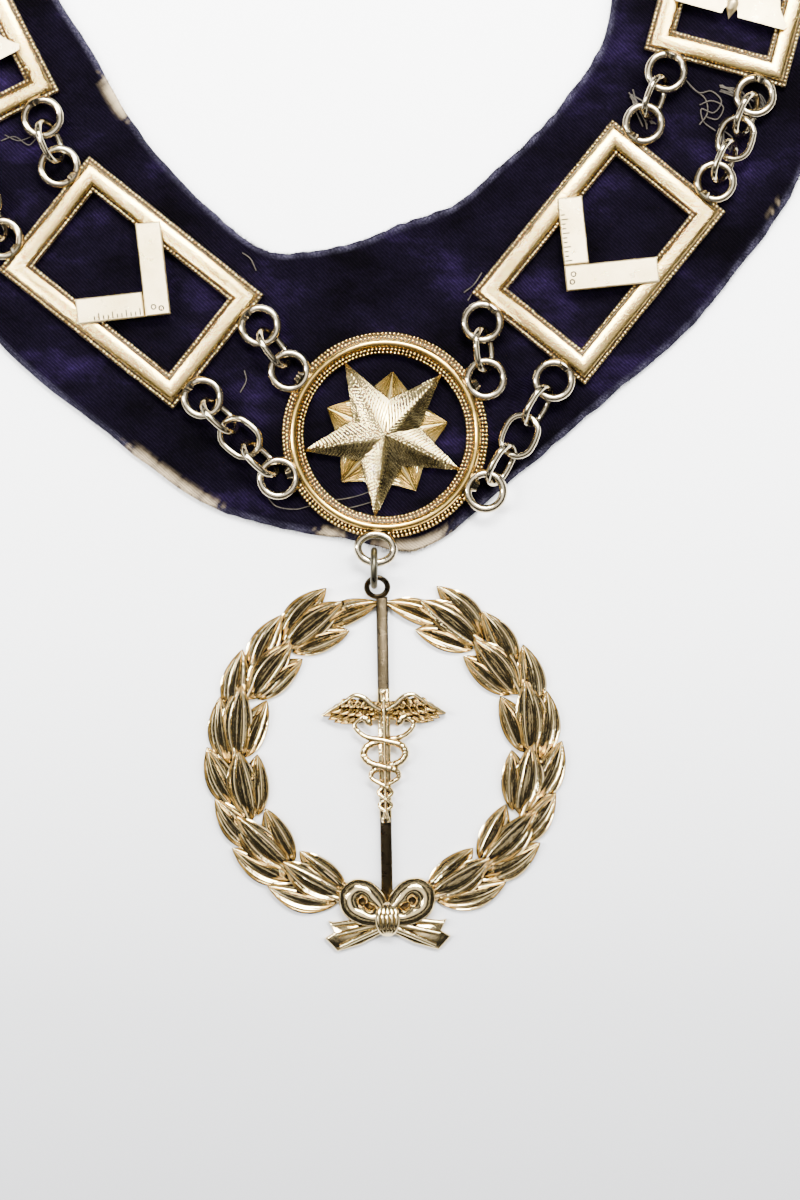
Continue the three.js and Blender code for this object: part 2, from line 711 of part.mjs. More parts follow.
function caduceus() {
  const wing = sized(WING_OUTLINE, CADUCEUS_SIZE);
  const bottom = STAFF_THICKNESS - WING_SINK;
  const top = bottom + CADUCEUS_THICKNESS;
  const wings = [flatBody(wing, bottom, top), flatBody(mirrored(wing), bottom, top)];
  const ball = new THREE.SphereGeometry(SNAKE_WIRE * BALL_SHARE, 8, 6);
  ball.translate(0, CADUCEUS_SIZE * BALL_PLACE, STAFF_THICKNESS);
  return [...wings, snake(1), snake(-1), ball];
}

function bow() {
  const knotHeight = -WREATH_RADIUS - KNOT_BELOW;
  const shapes = [sized(BOW_LOOP, BOW_WIDTH), sized(BOW_TAIL, BOW_WIDTH)];
  const both = shapes.flatMap((shape, index) => {
    const top = BOW_THICKNESS * (index ? BOW_TAIL_SHARE : BOW_LOOP_SHARE);
    return [flatBody(shape, 0, top), flatBody(mirrored(shape), 0, top)];
  });
  const stretch = new THREE.Vector2(1, KNOT_STRETCH);
  const knot = range(8).map((step) => heading2d(45 * step + 22.5, KNOT_RADIUS).multiply(stretch));
  const [edge, peak] = [BOW_THICKNESS * KNOT_EDGE, BOW_THICKNESS * KNOT_PEAK];
  both.push(peakedBody(knot, new THREE.Vector2(), 0, edge, peak));
  return both.map((piece) => piece.translate(0, knotHeight, 0));
}

function pendantRing() {
  const radius = (PENDANT_RING_DIAMETER - PENDANT_RING_WIRE) / 2;
  const rise = radius * Math.sin(radians(PENDANT_RING_TILT));
  const reach = radius * Math.cos(radians(PENDANT_RING_TILT));
  const top = WREATH_RADIUS + STAFF_TOP_REACH;
  return ovalRing(PENDANT_RING_DIAMETER, PENDANT_RING_DIAMETER, PENDANT_RING_WIRE)
    .rotateX(radians(PENDANT_RING_TILT))
    .translate(PENDANT_RING_ASIDE, top + reach, STAFF_THICKNESS / 2 + rise + PENDANT_RING_LIFT);
}

function pendantGeometry() {
  return toGeometry(
    joined([...branch(-1), ...branch(1), staff(), ...caduceus(), ...bow(), pendantRing()]),
  );
}

// Assembly
const collar = new THREE.Group();

function addPiece(name, geometry, material) {
  const mesh = new THREE.Mesh(geometry, material);
  mesh.name = name;
  collar.add(mesh);
  return mesh;
}

function addLink(name, link) {
  link.name = name;
  collar.add(link);
}

const routes = closedRoutes();
const emblems = { square: plateGeometry("square"), level: plateGeometry("level") };
const dents = [];

for (const [side, plates] of Object.entries(routes)) {
  plates.forEach((plate, index) => {
    const place = `${side}_${index + 1}`;
    const mesh = addPiece(`plate_${place}`, emblems[plate.emblem], MATERIALS.plateGold);
    mesh.position.set(plate.centre.x, plate.centre.y, 0);
    mesh.rotation.z = radians(plate.heading);
    const inner = innerLink(plate.before[0], plate.near[0]);
    addLink(`inner_link_${place}`, inner.link);
    const outer = chainBetween(plate.before[1], plate.near[1], 3);
    outer.links.forEach((link, number) => addLink(`outer_link_${place}_${number + 1}`, link));
    dents.push(innerDent(inner), outerDent(outer));
  });
}

// Back: one inner link, and a longer outer chain.
const [lastLeft, lastRight] = [routes.left.at(-1), routes.right.at(-1)];
const backInner = innerLink(lastLeft.far[0], lastRight.far[0]);
addLink("inner_link_back", backInner.link);
const backOuter = chainBetween(lastLeft.far[1], lastRight.far[1], BACK_LINKS);
backOuter.links.forEach((link, number) => addLink(`outer_link_back_${number + 1}`, link));
dents.push(innerDent(backInner), outerDent(backOuter));

addPiece("medallion", medallionGeometry(), MATERIALS.medallionGold);
const band = velvetBand(velvetSections(routes.left, routes.right));
const pressed = dents.reduce((whole, hollow) => whole.subtract(toSolid(hollow)), toSolid(band));
addPiece("velvet_collar", toGeometry(pressed), MATERIALS.velvet);

// The jump ring stands on edge between the medallion's bottom eye and the pendant's ring.
const eyeEnd = heading2d(
  BOTTOM_EYE_ANGLE,
  MEDALLION_DIAMETER / 2 + BOTTOM_EYE_REACH + (BOTTOM_EYE_LENGTH - EYE_WIRE) / 2,
);
const jumpHeight = JUMP_RING_DIAMETER / 2 + JUMP_RING_LIFT;
const jumpCentre = new THREE.Vector3(eyeEnd.x, eyeEnd.y - JUMP_RING_DROP, jumpHeight);
const jumpRing = addPiece(
  "pendant_jump_ring",
  ovalRing(JUMP_RING_DIAMETER, JUMP_RING_DIAMETER, JUMP_RING_WIRE),
  MATERIALS.darkSteel,
);
jumpRing.position.copy(jumpCentre);
jumpRing.rotation.set(0, Math.PI / 2, 0);

// The pendant hangs from the middle of its ring's far wire, a little aside of the jump ring.
const ringReach =
  WREATH_RADIUS +
  STAFF_TOP_REACH +
  (PENDANT_RING_DIAMETER - PENDANT_RING_WIRE) * Math.cos(radians(PENDANT_RING_TILT));
const pendant = addPiece("wreath_pendant", pendantGeometry(), MATERIALS.pendantGold);
pendant.rotation.z = radians(PENDANT_LEAN);
const hold = new THREE.Vector2(PENDANT_RING_ASIDE, ringReach);
hold.rotateAround(new THREE.Vector2(), radians(PENDANT_LEAN));
const pendantPlace = new THREE.Vector2(jumpCentre.x + PENDANT_SHIFT, jumpCentre.y - PENDANT_RING_HANG);
pendant.position.set(pendantPlace.x - hold.x, pendantPlace.y - hold.y, 0);

// The origin is under the middle of the whole, on the surface that it lies on.
const whole = new THREE.Group();
whole.add(collar);
const bounds = new THREE.Box3().setFromObject(whole, true);
const centre = bounds.getCenter(new THREE.Vector3());
collar.position.set(-centre.x, -centre.y, -bounds.min.z);

export default whole;
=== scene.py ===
import math

import bpy
import numpy as np
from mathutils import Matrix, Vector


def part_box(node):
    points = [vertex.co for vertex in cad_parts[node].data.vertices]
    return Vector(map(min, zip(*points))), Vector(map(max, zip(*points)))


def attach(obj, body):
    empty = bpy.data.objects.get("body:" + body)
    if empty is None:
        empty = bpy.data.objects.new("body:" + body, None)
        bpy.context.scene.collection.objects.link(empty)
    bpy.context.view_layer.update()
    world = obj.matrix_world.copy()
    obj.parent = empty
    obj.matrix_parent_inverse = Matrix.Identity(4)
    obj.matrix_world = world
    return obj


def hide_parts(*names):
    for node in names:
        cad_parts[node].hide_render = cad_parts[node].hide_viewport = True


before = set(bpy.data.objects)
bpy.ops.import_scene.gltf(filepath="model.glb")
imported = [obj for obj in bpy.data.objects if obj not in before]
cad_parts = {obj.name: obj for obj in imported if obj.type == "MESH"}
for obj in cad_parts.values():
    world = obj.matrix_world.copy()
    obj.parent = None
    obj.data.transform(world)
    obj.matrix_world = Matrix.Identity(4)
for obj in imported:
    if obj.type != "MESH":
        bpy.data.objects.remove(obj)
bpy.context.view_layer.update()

# A chain of office laid flat on a pale surface and seen from straight above. Shape functions
# work in millimetres, in the frame of the CAD; make_piece turns millimetres into metres.
MM = 0.001
rng = np.random.default_rng(7)

# The photograph: millimetres to a pixel, the medallion's centre and the picture's, in pixels.
PHOTO_SCALE = 0.25
PHOTO_MEDALLION = (385, 435)
PHOTO_CENTRE = (400, 600)

# Heights and sizes shared with the CAD, in millimetres and degrees
VELVET_TOP = 3.0
METAL_BASE = 3.3
PLATE_LENGTH, PLATE_WIDTH, PLATE_RAIL, PLATE_HEIGHT = 56.0, 36.7, 6.6, 2.9
EYE_DIAMETER, EYE_WIRE, EYE_REACH, EYE_SPACING, EYE_HEIGHT = 11.0, 2.1, 4.0, 23.0, 5.3
MEDALLION_DIAMETER, MEDALLION_OPENING, MEDALLION_HEIGHT = 51.7, 40.5, 3.2
MEDALLION_EYES = (146.3, 202.0, 29.1, -29.2)
BOTTOM_EYE_ANGLE, BOTTOM_EYE_WIDTH, BOTTOM_EYE_LENGTH, BOTTOM_EYE_REACH = 265.3, 11.1, 9.2, 2.6
STAR_TURN, STAR_VALLEY, BACK_STAR_RADIUS = 119.0, 0.42, 16.0
LINK_LENGTH, LINK_WIDTH, LINK_WIRE = 12.3, 10.0, 1.7
BAND_WIDTH, BAND_INSIDE_LEFT, BAND_INSIDE_RIGHT, BACK_POINT = 62.5, 0.46, 0.53, 1.22
WREATH_RADIUS, STAFF_WIDTH, STAFF_THICKNESS = 37.6, 2.9, 2.4
PENDANT_LEAN, CADUCEUS_SIZE, BOW_WIDTH = 1.03, 15.5, 24.0
STAFF_TOP_REACH, PENDANT_RING_ASIDE = 2.45, -1.1
ROD_HEIGHT = STAFF_THICKNESS + 0.1
WREATH_FROM_MEDALLION = (-0.11, -80.51)
PLATE_HEADINGS = {
    "left": (141.5, 117.0, 92.2, 67.4, 42.6),
    "right": (50.9, 74.8, 98.9, 123.1, 147.2),
}

# Sizes of what only the scene has, in millimetres and degrees
JUMP_RING_DIAMETER, JUMP_RING_WIRE = 10.5, 1.9
PENDANT_RING_DIAMETER, PENDANT_RING_WIRE, PENDANT_RING_REACH, PENDANT_RING_TILT = 6.7, 1.5, 2.7, 25
RAIL_LEDGE, RAIL_ARCH, RAIL_ROUNDING = 1.15, 1.25, 0.15
RAIL_BEAD_INSET, RAIL_BEAD_RADIUS, RAIL_BEAD_PITCH = 0.56, 0.46, 1.0
EMBLEM_SINK, EMBLEM_THICKNESS, EMBLEM_BEVEL = 0.9, 1.9, 0.3
SQUARE_CORNER, SQUARE_ARM, SQUARE_WIDTH, SQUARE_JOINT = (-12.8, 0.0), 23.2, 6.25, 0.25
RULER_TICKS, RULER_STEP, LONG_TICK, SHORT_TICK = 11, 1.15, 1.7, 1.0
LEVEL_HALF, LEVEL_LOW, LEVEL_HIGH = 14.4, -14.2, -8.0
VELVET_STATIONS, VELVET_ACROSS = 620, 50
VELVET_UNDERSIDE = (0.985, 0.75, 0.5, 0.25, 0.015)
LINK_HOLLOW_RADIUS, LINK_CLEARANCE = 3.2, 0.25
FUZZ_FIBRES, FUZZ_HALF_WIDTH = 4200, 0.05

# Places in a piece's list of materials, after its first metal
SECOND, EYES, DARK = 1, 2, 3

# Edges of the velvet across its front, in band widths from the medallion: the inner edge's
# x and y, then the outer edge's.
FRONT_SECTIONS = (
    (-1.18, 1.55, -2.0, 0.97),
    (-0.98, 1.21, -1.54, 0.36),
    (-0.68, 0.89, -1.13, 0.02),
    (-0.46, 0.74, -0.73, -0.27),
    (-0.32, 0.74, -0.48, -0.36),
    (-0.11, 0.78, -0.14, -0.42),
    (0.06, 0.85, 0.13, -0.46),
    (0.28, 0.93, 0.52, -0.17),
    (0.47, 1.09, 0.86, 0.12),
    (0.59, 1.2, 1.2, 0.41),
    (0.73, 1.36, 1.42, 0.67),
    (0.88, 1.6, 1.66, 1.02),
)

# Rows of leaves up each branch: count, first tip's angle from the bottom, step, how far the
# base hangs behind, radii of tip and base as shares of the wreath's, how far every other tip
# swings outwards, width, and height.
LEAF_ROWS = (
    (6, 43.0, 24.5, 26.0, 0.85, 0.93, 0.02, 7.2, 0.1),
    (8, 43.0, 17.0, 24.0, 1.17, 1.03, 0.02, 7.4, 0.1),
    (6, 45.0, 24.2, 28.0, 0.98, 0.98, 0.09, 8.0, 0.6),
    (1, 179.0, 0.0, 26.0, 1.03, 0.97, 0.0, 6.4, 0.4),
)
# Rows of feathers in a wing: count, length, the way they point, height, and their tips.
FEATHER_ROWS = (
    (8, 0.42, -22, 0.9, ((1.0, 0.67), (0.84, 0.575), (0.66, 0.54), (0.42, 0.57), (0.16, 0.63))),
    (7, 0.26, -30, 1.6, ((0.86, 0.73), (0.66, 0.69), (0.48, 0.67), (0.3, 0.68), (0.16, 0.71))),
    (6, 0.18, -42, 2.2, ((0.7, 0.82), (0.54, 0.81), (0.4, 0.8), (0.26, 0.77), (0.16, 0.76))),
)
FEATHER_WIDTH, FEATHER_THICK, FEATHER_GRID = 2.2, 0.5, (12, 13)
# The wing's upper edge: across and up in caduceus sizes, and its height in millimetres.
WING_CREST = ((0.06, 0.76, 2.6), (0.2, 0.85, 3.0), (0.34, 0.97, 3.2), (0.46, 1.0, 3.2),
              (0.62, 0.91, 3.0), (0.8, 0.8, 2.7), (1.0, 0.68, 2.2))

# The left snake from head to tail in caduceus sizes: across, up, and how far over.
SNAKE_ROUTE = (
    (-0.2, 0.5, 0.4),
    (-0.33, 0.64, 0.3),
    (-0.48, 0.52, 0.2),
    (-0.33, 0.34, 0.4),
    (0, 0.26, 1),
    (0.28, 0.17, 0.4),
    (0.34, 0.04, 0),
    (0.25, -0.09, -0.3),
    (0, -0.17, -0.9),
    (-0.2, -0.24, -0.2),
    (-0.22, -0.34, 0),
    (0, -0.48, 0.9),
    (0.11, -0.58, 0),
    (0, -0.69, -0.6),
    (-0.1, -0.79, 0),
    (0, -0.9, 0.6),
    (0.05, -1.06, 0),
)

# The snake's radius in millimetres at shares of its length, its points and its rings of scales.
SNAKE_RADII = ((0, 0.02, 0.05, 0.09, 0.2, 0.32, 0.5, 0.62, 1),
               (0.4, 1.0, 1.05, 0.6, 0.68, 1.0, 0.95, 0.65, 0.45))
SNAKE_POINTS, SNAKE_SCALES, SNAKE_SCALE_DEPTH, SNAKE_LIFT = 150, 44, 0.07, 0.45

# The bow's left loop and tail, in bow widths from its knot.
BOW_LOOP = ((0.0, 0.04), (-0.07, 0.2), (-0.2, 0.34), (-0.34, 0.36), (-0.44, 0.26), (-0.42, 0.1),
            (-0.28, 0.0), (-0.1, -0.03))
BOW_TAIL = ((0.02, 0.05), (-0.35, -0.06), (-0.62, -0.02), (-0.56, -0.14), (-0.66, -0.2),
            (-0.53, -0.34), (-0.28, -0.27), (0.02, -0.12))
# Folds along a tail, from the knot to the tips.
BOW_FOLDS = (((-0.08, 0.0), (-0.58, -0.06)), ((-0.08, -0.06), (-0.54, -0.17)),
             ((-0.08, -0.1), (-0.5, -0.29)))


def unit(degrees):
    """The unit vector at an angle from +X."""
    return np.array([math.cos(math.radians(degrees)), math.sin(math.radians(degrees))])


def middle_of(node):
    """The middle of a CAD node's box, in millimetres."""
    low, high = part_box(node)
    return (np.array(low) + np.array(high)) / 2 / MM


def node_points(node):
    """A CAD node's vertices in millimetres."""
    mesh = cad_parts[node].data
    points = np.empty(len(mesh.vertices) * 3)
    mesh.vertices.foreach_get("co", points)
    return points.reshape(-1, 3) / MM


def lowest_middle(node):
    """The mean of the vertices on a node's flat underside."""
    points = node_points(node)
    return points[points[:, 2] < points[:, 2].min() + 0.01].mean(axis=0)


MEDALLION = lowest_middle("medallion")[:2]
WREATH = MEDALLION + np.array(WREATH_FROM_MEDALLION)


def photo_place(x, y):
    """The place on the surface that a pixel of the 800 by 1200 photograph shows."""
    return MEDALLION + np.array([x - PHOTO_MEDALLION[0], PHOTO_MEDALLION[1] - y]) * PHOTO_SCALE


class Shape:
    """Closed bodies gathered into one mesh, each face with the number of its material."""

    def __init__(self):
        self.points = []
        self.faces = []
        self.kinds = []
        self.count = 0

    def add(self, points, faces, kind=0):
        """Adds a body; kind is one number, or one for each face."""
        points = np.asarray(points, float).reshape(-1, 3)
        self.points.append(points)
        self.faces.extend(tuple(int(i) + self.count for i in face) for face in faces)
        self.kinds.extend(np.broadcast_to(kind, len(faces)).tolist())
        self.count += len(points)

    def moved(self, turn, shift):
        """Turns everything about Z by degrees, then shifts it."""
        c, s = unit(turn)
        points = np.concatenate(self.points)
        flat = points[:, :2] @ np.array([[c, s], [-s, c]])
        self.points = [np.column_stack([flat, points[:, 2]]) + np.array([*shift, 0])]


def loop_faces(sections, across):
    """Quads over a skin that is closed both round its sections and round the loop."""
    i, j = np.meshgrid(np.arange(sections), np.arange(across), indexing="ij")
    a = i * across + j
    b = i * across + (j + 1) % across
    c = ((i + 1) % sections) * across + (j + 1) % across
    d = ((i + 1) % sections) * across + j
    return np.stack([a, b, c, d], axis=-1).reshape(-1, 4)


def oval_ring(length, width, wire, steps=48, sides=14, squash=1.0):
    """A wire ring in the XY plane, with straight sides along X where it is longer than wide."""
    radius = (width - wire) / 2
    straight = max(0.0, (length - width) / 2)
    squeeze = min(1.0, (length - wire) / (width - wire))
    angle = 2 * np.pi * (np.arange(steps) + 0.5) / steps
    out = np.column_stack([np.cos(angle), np.sin(angle)])
    middle = out * radius * np.array([squeeze, 1]) + np.column_stack(
        [np.sign(out[:, 0]) * straight * np.minimum(1, np.abs(out[:, 0]) * 3), 0 * angle])
    turn = 2 * np.pi * np.arange(sides) / sides
    flat = middle[:, None, :] + out[:, None, :] * (np.cos(turn) * wire / 2)[None, :, None]
    high = np.broadcast_to(np.sin(turn) * wire / 2 * squash, (steps, sides))
    return np.dstack([flat, high]).reshape(-1, 3), loop_faces(steps, sides)[:, ::-1]


def tube(points, radii, sides=10):
    """A round tube through points, closed at both ends."""
    points = np.asarray(points, float)
    radii = np.broadcast_to(radii, len(points))
    along = np.gradient(points, axis=0)
    along /= np.linalg.norm(along, axis=1)[:, None] + 1e-12
    side = np.cross(along, [0.0, 0.0, 1.0])
    side /= np.linalg.norm(side, axis=1)[:, None] + 1e-9
    up = np.cross(side, along)
    turn = 2 * np.pi * np.arange(sides) / sides
    ring = (side[:, None, :] * np.cos(turn)[None, :, None]
            + up[:, None, :] * np.sin(turn)[None, :, None])
    skin = (points[:, None, :] + ring * radii[:, None, None]).reshape(-1, 3)
    faces = [*loop_faces(len(points), sides)[:(len(points) - 1) * sides]]
    faces.append(tuple(range(sides))[::-1])
    faces.append(tuple(range(len(skin) - sides, len(skin))))
    return skin, faces


def smooth_path(points, count, closed=False):
    """A centripetal Catmull-Rom curve through points, sampled evenly from point to point."""
    points = np.asarray(points, float)
    if not closed:
        points = np.vstack([2 * points[0] - points[1], points, 2 * points[-1] - points[-2]])
    size = len(points)
    spans = size if closed else size - 3
    place = np.arange(count) / (count if closed else count - 1) * spans
    whole = np.minimum(place.astype(int), spans - 1)
    share = (place - whole)[:, None]
    first = whole - 1 if closed else whole
    p0, p1, p2, p3 = (points[(first + k) % size] for k in range(4))

    def step(a, b):
        return np.maximum(np.linalg.norm(b - a, axis=1), 1e-6)[:, None] ** 0.5

    d0, d1, d2 = step(p0, p1), step(p1, p2), step(p2, p3)
    t1 = ((p1 - p0) / d0 - (p2 - p0) / (d0 + d1) + (p2 - p1) / d1) * d1
    t2 = ((p2 - p1) / d1 - (p3 - p1) / (d1 + d2) + (p3 - p2) / d2) * d1
    cubic = 2 * p1 - 2 * p2 + t1 + t2
    square = -3 * p1 + 3 * p2 - 2 * t1 - t2
    return p1 + t1 * share + square * share**2 + cubic * share**3


def prism(outline, bottom, top, bevel=0.25):
    """A flat body over an outline (counter-clockwise), its upper edge bevelled."""
    outline = np.asarray(outline, float)
    count = len(outline)
    after = np.roll(outline, -1, axis=0) - outline
    after /= np.linalg.norm(after, axis=1)[:, None]
    before = np.roll(after, 1, axis=0)
    inward = np.column_stack([-(after + before)[:, 1], (after + before)[:, 0]])
    length = np.maximum((inward**2).sum(axis=1), 0.6)[:, None]
    inset = outline + inward * 2 * bevel / length
    rows = [(outline, bottom), (outline, top - bevel), (inset, top)]
    points = np.vstack([np.column_stack([row, np.full(count, high)]) for row, high in rows])
    faces = [tuple(range(count))[::-1], tuple(range(2 * count, 3 * count))]
    for level in range(2):
        low = level * count
        for i in range(count):
            j = (i + 1) % count
            faces.append((low + i, low + j, low + count + j, low + count + i))
    return points, faces


def grid_body(top, bottom):
    """A closed body between a grid of top points and the same grid at a lower height."""
    rows, cols = top.shape[:2]
    low = top.copy()
    low[..., 2] = bottom
    points = np.concatenate([top.reshape(-1, 3), low.reshape(-1, 3)])
    size = rows * cols
    i, j = np.meshgrid(np.arange(rows - 1), np.arange(cols - 1), indexing="ij")
    a = (i * cols + j).reshape(-1)
    upper = np.column_stack([a, a + cols, a + cols + 1, a + 1])
    faces = [*upper, *(upper[:, ::-1] + size)]
    rim = ([(0, k) for k in range(cols)] + [(k, cols - 1) for k in range(1, rows)]
           + [(rows - 1, k) for k in range(cols - 2, -1, -1)] + [(k, 0) for k in range(rows - 2, 0, -1)])
    edge = [r * cols + c for r, c in rim]
    for k, here in enumerate(edge):
        after = edge[(k + 1) % len(edge)]
        faces.append((here, after, after + size, here + size))
    return points, faces


def bead_template():
    """A twenty-sided bead of radius one, with its faces; r is the golden ratio."""
    r = (1 + 5**0.5) / 2
    points = np.array([(-1, r, 0), (1, r, 0), (-1, -r, 0), (1, -r, 0), (0, -1, r), (0, 1, r),
                       (0, -1, -r), (0, 1, -r), (r, 0, -1), (r, 0, 1), (-r, 0, -1), (-r, 0, 1)])
    faces = [(0, 11, 5), (0, 5, 1), (0, 1, 7), (0, 7, 10), (0, 10, 11), (1, 5, 9), (5, 11, 4),
             (11, 10, 2), (10, 7, 6), (7, 1, 8), (3, 9, 4), (3, 4, 2), (3, 2, 6), (3, 6, 8),
             (3, 8, 9), (4, 9, 5), (2, 4, 11), (6, 2, 10), (8, 6, 7), (9, 8, 1)]
    return points / math.hypot(1, r), np.array(faces)


def beads(shape, centres, radius):
    """Adds a bead at each centre."""
    points, faces = bead_template()
    centres = np.asarray(centres, float)
    every = centres[:, None, :] + points[None] * radius
    step = np.arange(len(centres))[:, None, None] * len(points)
    shape.add(every, (faces[None] + step).reshape(-1, 3))


# Materials

def new_material(name, base, metallic, roughness):
    material = bpy.data.materials.new(name)
    material.use_nodes = True
    shader = material.node_tree.nodes["Principled BSDF"]
    shader.inputs["Base Color"].default_value = (*base, 1)
    shader.inputs["Metallic"].default_value = metallic
    shader.inputs["Roughness"].default_value = roughness
    return material, material.node_tree, shader


def coordinates(tree, kind="Object"):
    return tree.nodes.new("ShaderNodeTexCoord").outputs[kind]


def noise(tree, scale, detail=4.0, stretch=(1, 1, 1), roughness=0.6):
    """Noise in metres of the object's own space; scale is features for each millimetre."""
    nodes, links = tree.nodes, tree.links
    mapping = nodes.new("ShaderNodeMapping")
    mapping.inputs["Scale"].default_value = [s * scale / MM for s in stretch]
    texture = nodes.new("ShaderNodeTexNoise")
    texture.inputs["Scale"].default_value = 1.0
    texture.inputs["Detail"].default_value = detail
    texture.inputs["Roughness"].default_value = roughness
    links.new(coordinates(tree), mapping.inputs["Vector"])
    links.new(mapping.outputs["Vector"], texture.inputs["Vector"])
    return texture.outputs["Fac"]


def ramp(tree, value, stops):
    """A colour ramp; stops are (place, (r, g, b))."""
    node = tree.nodes.new("ShaderNodeValToRGB")
    elements = node.color_ramp.elements
    while len(elements) < len(stops):
        elements.new(0.5)
    for element, (place, colour) in zip(elements, stops):
        element.position = place
        element.color = (*colour, 1)
    tree.links.new(value, node.inputs["Fac"])
    return node.outputs["Color"]


def mix(tree, factor, first, second, blend="MIX"):
    node = tree.nodes.new("ShaderNodeMix")
    node.data_type = "RGBA"
    node.blend_type = blend
    for socket, value in ((node.inputs["Factor"], factor), (node.inputs["A"], first),
                          (node.inputs["B"], second)):
        if isinstance(value, (tuple, float, int)):
            socket.default_value = (*value, 1) if isinstance(value, tuple) else value
        else:
            tree.links.new(value, socket)
    return node.outputs["Result"]


def bump(tree, shader, height, strength, distance):
    """Adds a bump to a shader; distance is in millimetres."""
    node = tree.nodes.new("ShaderNodeBump")
    node.inputs["Strength"].default_value = strength
    node.inputs["Distance"].default_value = distance * MM
    tree.links.new(height, node.inputs["Height"])
    tree.links.new(node.outputs["Normal"], shader.inputs["Normal"])


# How far the painted shade in recesses reaches, in millimetres.
RECESS_SHADE_REACH = 0.8


def metal(name, bright, dull, dark, roughness, grain=0.08, pits=0.3, grain_scale=1.2, swell=0.12):
    """Cast and plated metal: tone that drifts, painted shade in recesses, pits, uneven polish.

    bright and dull are the tones it drifts between, and dark the tone of pits and of the painted
    shade in recesses; pits is the strength of the pits, grain the bump's strength, grain_scale its
    fineness and swell its depth.
    """
    material, tree, shader = new_material(name, bright, 1.0, roughness)
    drift = ramp(tree, noise(tree, 0.12), [(0.35, bright), (0.7, dull)])
    # Painted shade: ambient occlusion darkens the colour in recesses towards the dark tone.
    occlusion = tree.nodes.new("ShaderNodeAmbientOcclusion")
    occlusion.inputs["Distance"].default_value = RECESS_SHADE_REACH * MM
    occlusion.samples = 4
    painted_recess_shade = ramp(tree, occlusion.outputs["AO"], [(0.25, (1, 1, 1)), (0.8, (0, 0, 0))])
    spots = ramp(tree, noise(tree, 0.9, 6.0), [(0.62, (0, 0, 0)), (0.75, (pits,) * 3)])
    tone = mix(tree, spots, drift, dark)
    tree.links.new(mix(tree, painted_recess_shade, tone, dark), shader.inputs["Base Color"])
    polish = ramp(tree, noise(tree, 0.5, 5.0),
                  [(0.3, (roughness * 0.7,) * 3), (0.75, (min(1, roughness * 1.7),) * 3)])
    tree.links.new(polish, shader.inputs["Roughness"])
    bump(tree, shader, noise(tree, grain_scale, 5.0), grain, swell)
    return material


# Tones of the velvet, as stops of its ramps: the pile from its dark tone to its streaks lightened
# with painted sheen, what the fine pile and the twill multiply it by, the worn pile, and the bare
# backing.
PILE_AND_SHEEN_TONES = ((0.36, (0.0006, 0.0004, 0.0009)), (0.54, (0.0017, 0.0011, 0.0032)),
              (0.64, (0.0044, 0.0024, 0.0098)), (0.76, (0.013, 0.0068, 0.034)))
FINE_TONES = ((0.3, (0.55, 0.55, 0.6)), (0.7, (1.25, 1.2, 1.2)))
TWILL_TONES = ((0.3, (0.7, 0.7, 0.72)), (0.7, (1.3, 1.27, 1.27)))
WORN_TONES = ((0.4, (0.012, 0.01, 0.02)), (0.7, (0.06, 0.055, 0.08)))
BACKING_TONE = (0.36, 0.28, 0.17)


def vertex_value(tree, name):
    """A value that the mesh carries at its vertices."""
    node = tree.nodes.new("ShaderNodeAttribute")
    node.attribute_name = name
    return node.outputs["Fac"]


def velvet_material():
    """Near-black violet pile with streaks lightened by painted sheen, and pale worn edges."""
    material, tree, shader = new_material("velvet_pile", (0.01, 0.007, 0.03), 0.0, 0.85)
    # The violet streaks follow the crushed pile, and their brightness is painted sheen.
    pile_and_sheen = ramp(tree, noise(tree, 0.035, 6.0, (1, 1.6, 1), 0.65), PILE_AND_SHEEN_TONES)
    fine = ramp(tree, noise(tree, 1.6, 3.0), FINE_TONES)
    lines = ramp(tree, diagonal_lines(tree), TWILL_TONES)
    pile_with_sheen = mix(tree, 1.0, mix(tree, 1.0, pile_and_sheen, fine, "MULTIPLY"), lines, "MULTIPLY")
    threads = ramp(tree, noise(tree, 2.2, 2.0), WORN_TONES)
    worn = mix(tree, vertex_value(tree, "wear"), pile_with_sheen, threads)
    colour = mix(tree, vertex_value(tree, "bare_spots_and_ledge_shade"), worn, BACKING_TONE)
    tree.links.new(colour, shader.inputs["Base Color"])
    shader.inputs["Sheen Weight"].default_value = 0.02
    shader.inputs["Sheen Roughness"].default_value = 0.35
    shader.inputs["Sheen Tint"].default_value = (0.4, 0.3, 0.85, 1)
    shader.inputs["Specular IOR Level"].default_value = 0.02
    twill = mix(tree, 0.35, noise(tree, 1.1, 6.0, (1, 1, 1), 0.75), diagonal_lines(tree))
    bump(tree, shader, twill, 0.9, 0.35)
    return material


def diagonal_lines(tree):
    """The cloth's twill: fine lines on the slant."""
    nodes, links = tree.nodes, tree.links
    wave = nodes.new("ShaderNodeTexWave")
    wave.bands_direction = "DIAGONAL"
    wave.inputs["Scale"].default_value = 0.62 / MM
    wave.inputs["Distortion"].default_value = 1.5
    wave.inputs["Detail"].default_value = 2.0
    links.new(coordinates(tree), wave.inputs["Vector"])
    return wave.outputs["Fac"]


def thread_material():
    material, tree, shader = new_material("thread", (0.06, 0.05, 0.04), 0.0, 0.8)
    tone = ramp(tree, noise(tree, 0.6),
                [(0.35, (0.012, 0.009, 0.006)), (0.7, (0.045, 0.037, 0.026))])
    tree.links.new(tone, shader.inputs["Base Color"])
    return material


# Where the painted shade on the floor fades out, in metres along Y, and the floor's tones from there on.
FADE_FROM, FADE_TO = -0.34, -0.02
FLOOR_SHADE_TONES = ((0.0, (0.27, 0.272, 0.282)), (0.2, (0.36, 0.363, 0.372)),
               (0.5, (0.62, 0.625, 0.632)), (1.0, (0.97, 0.97, 0.97)))


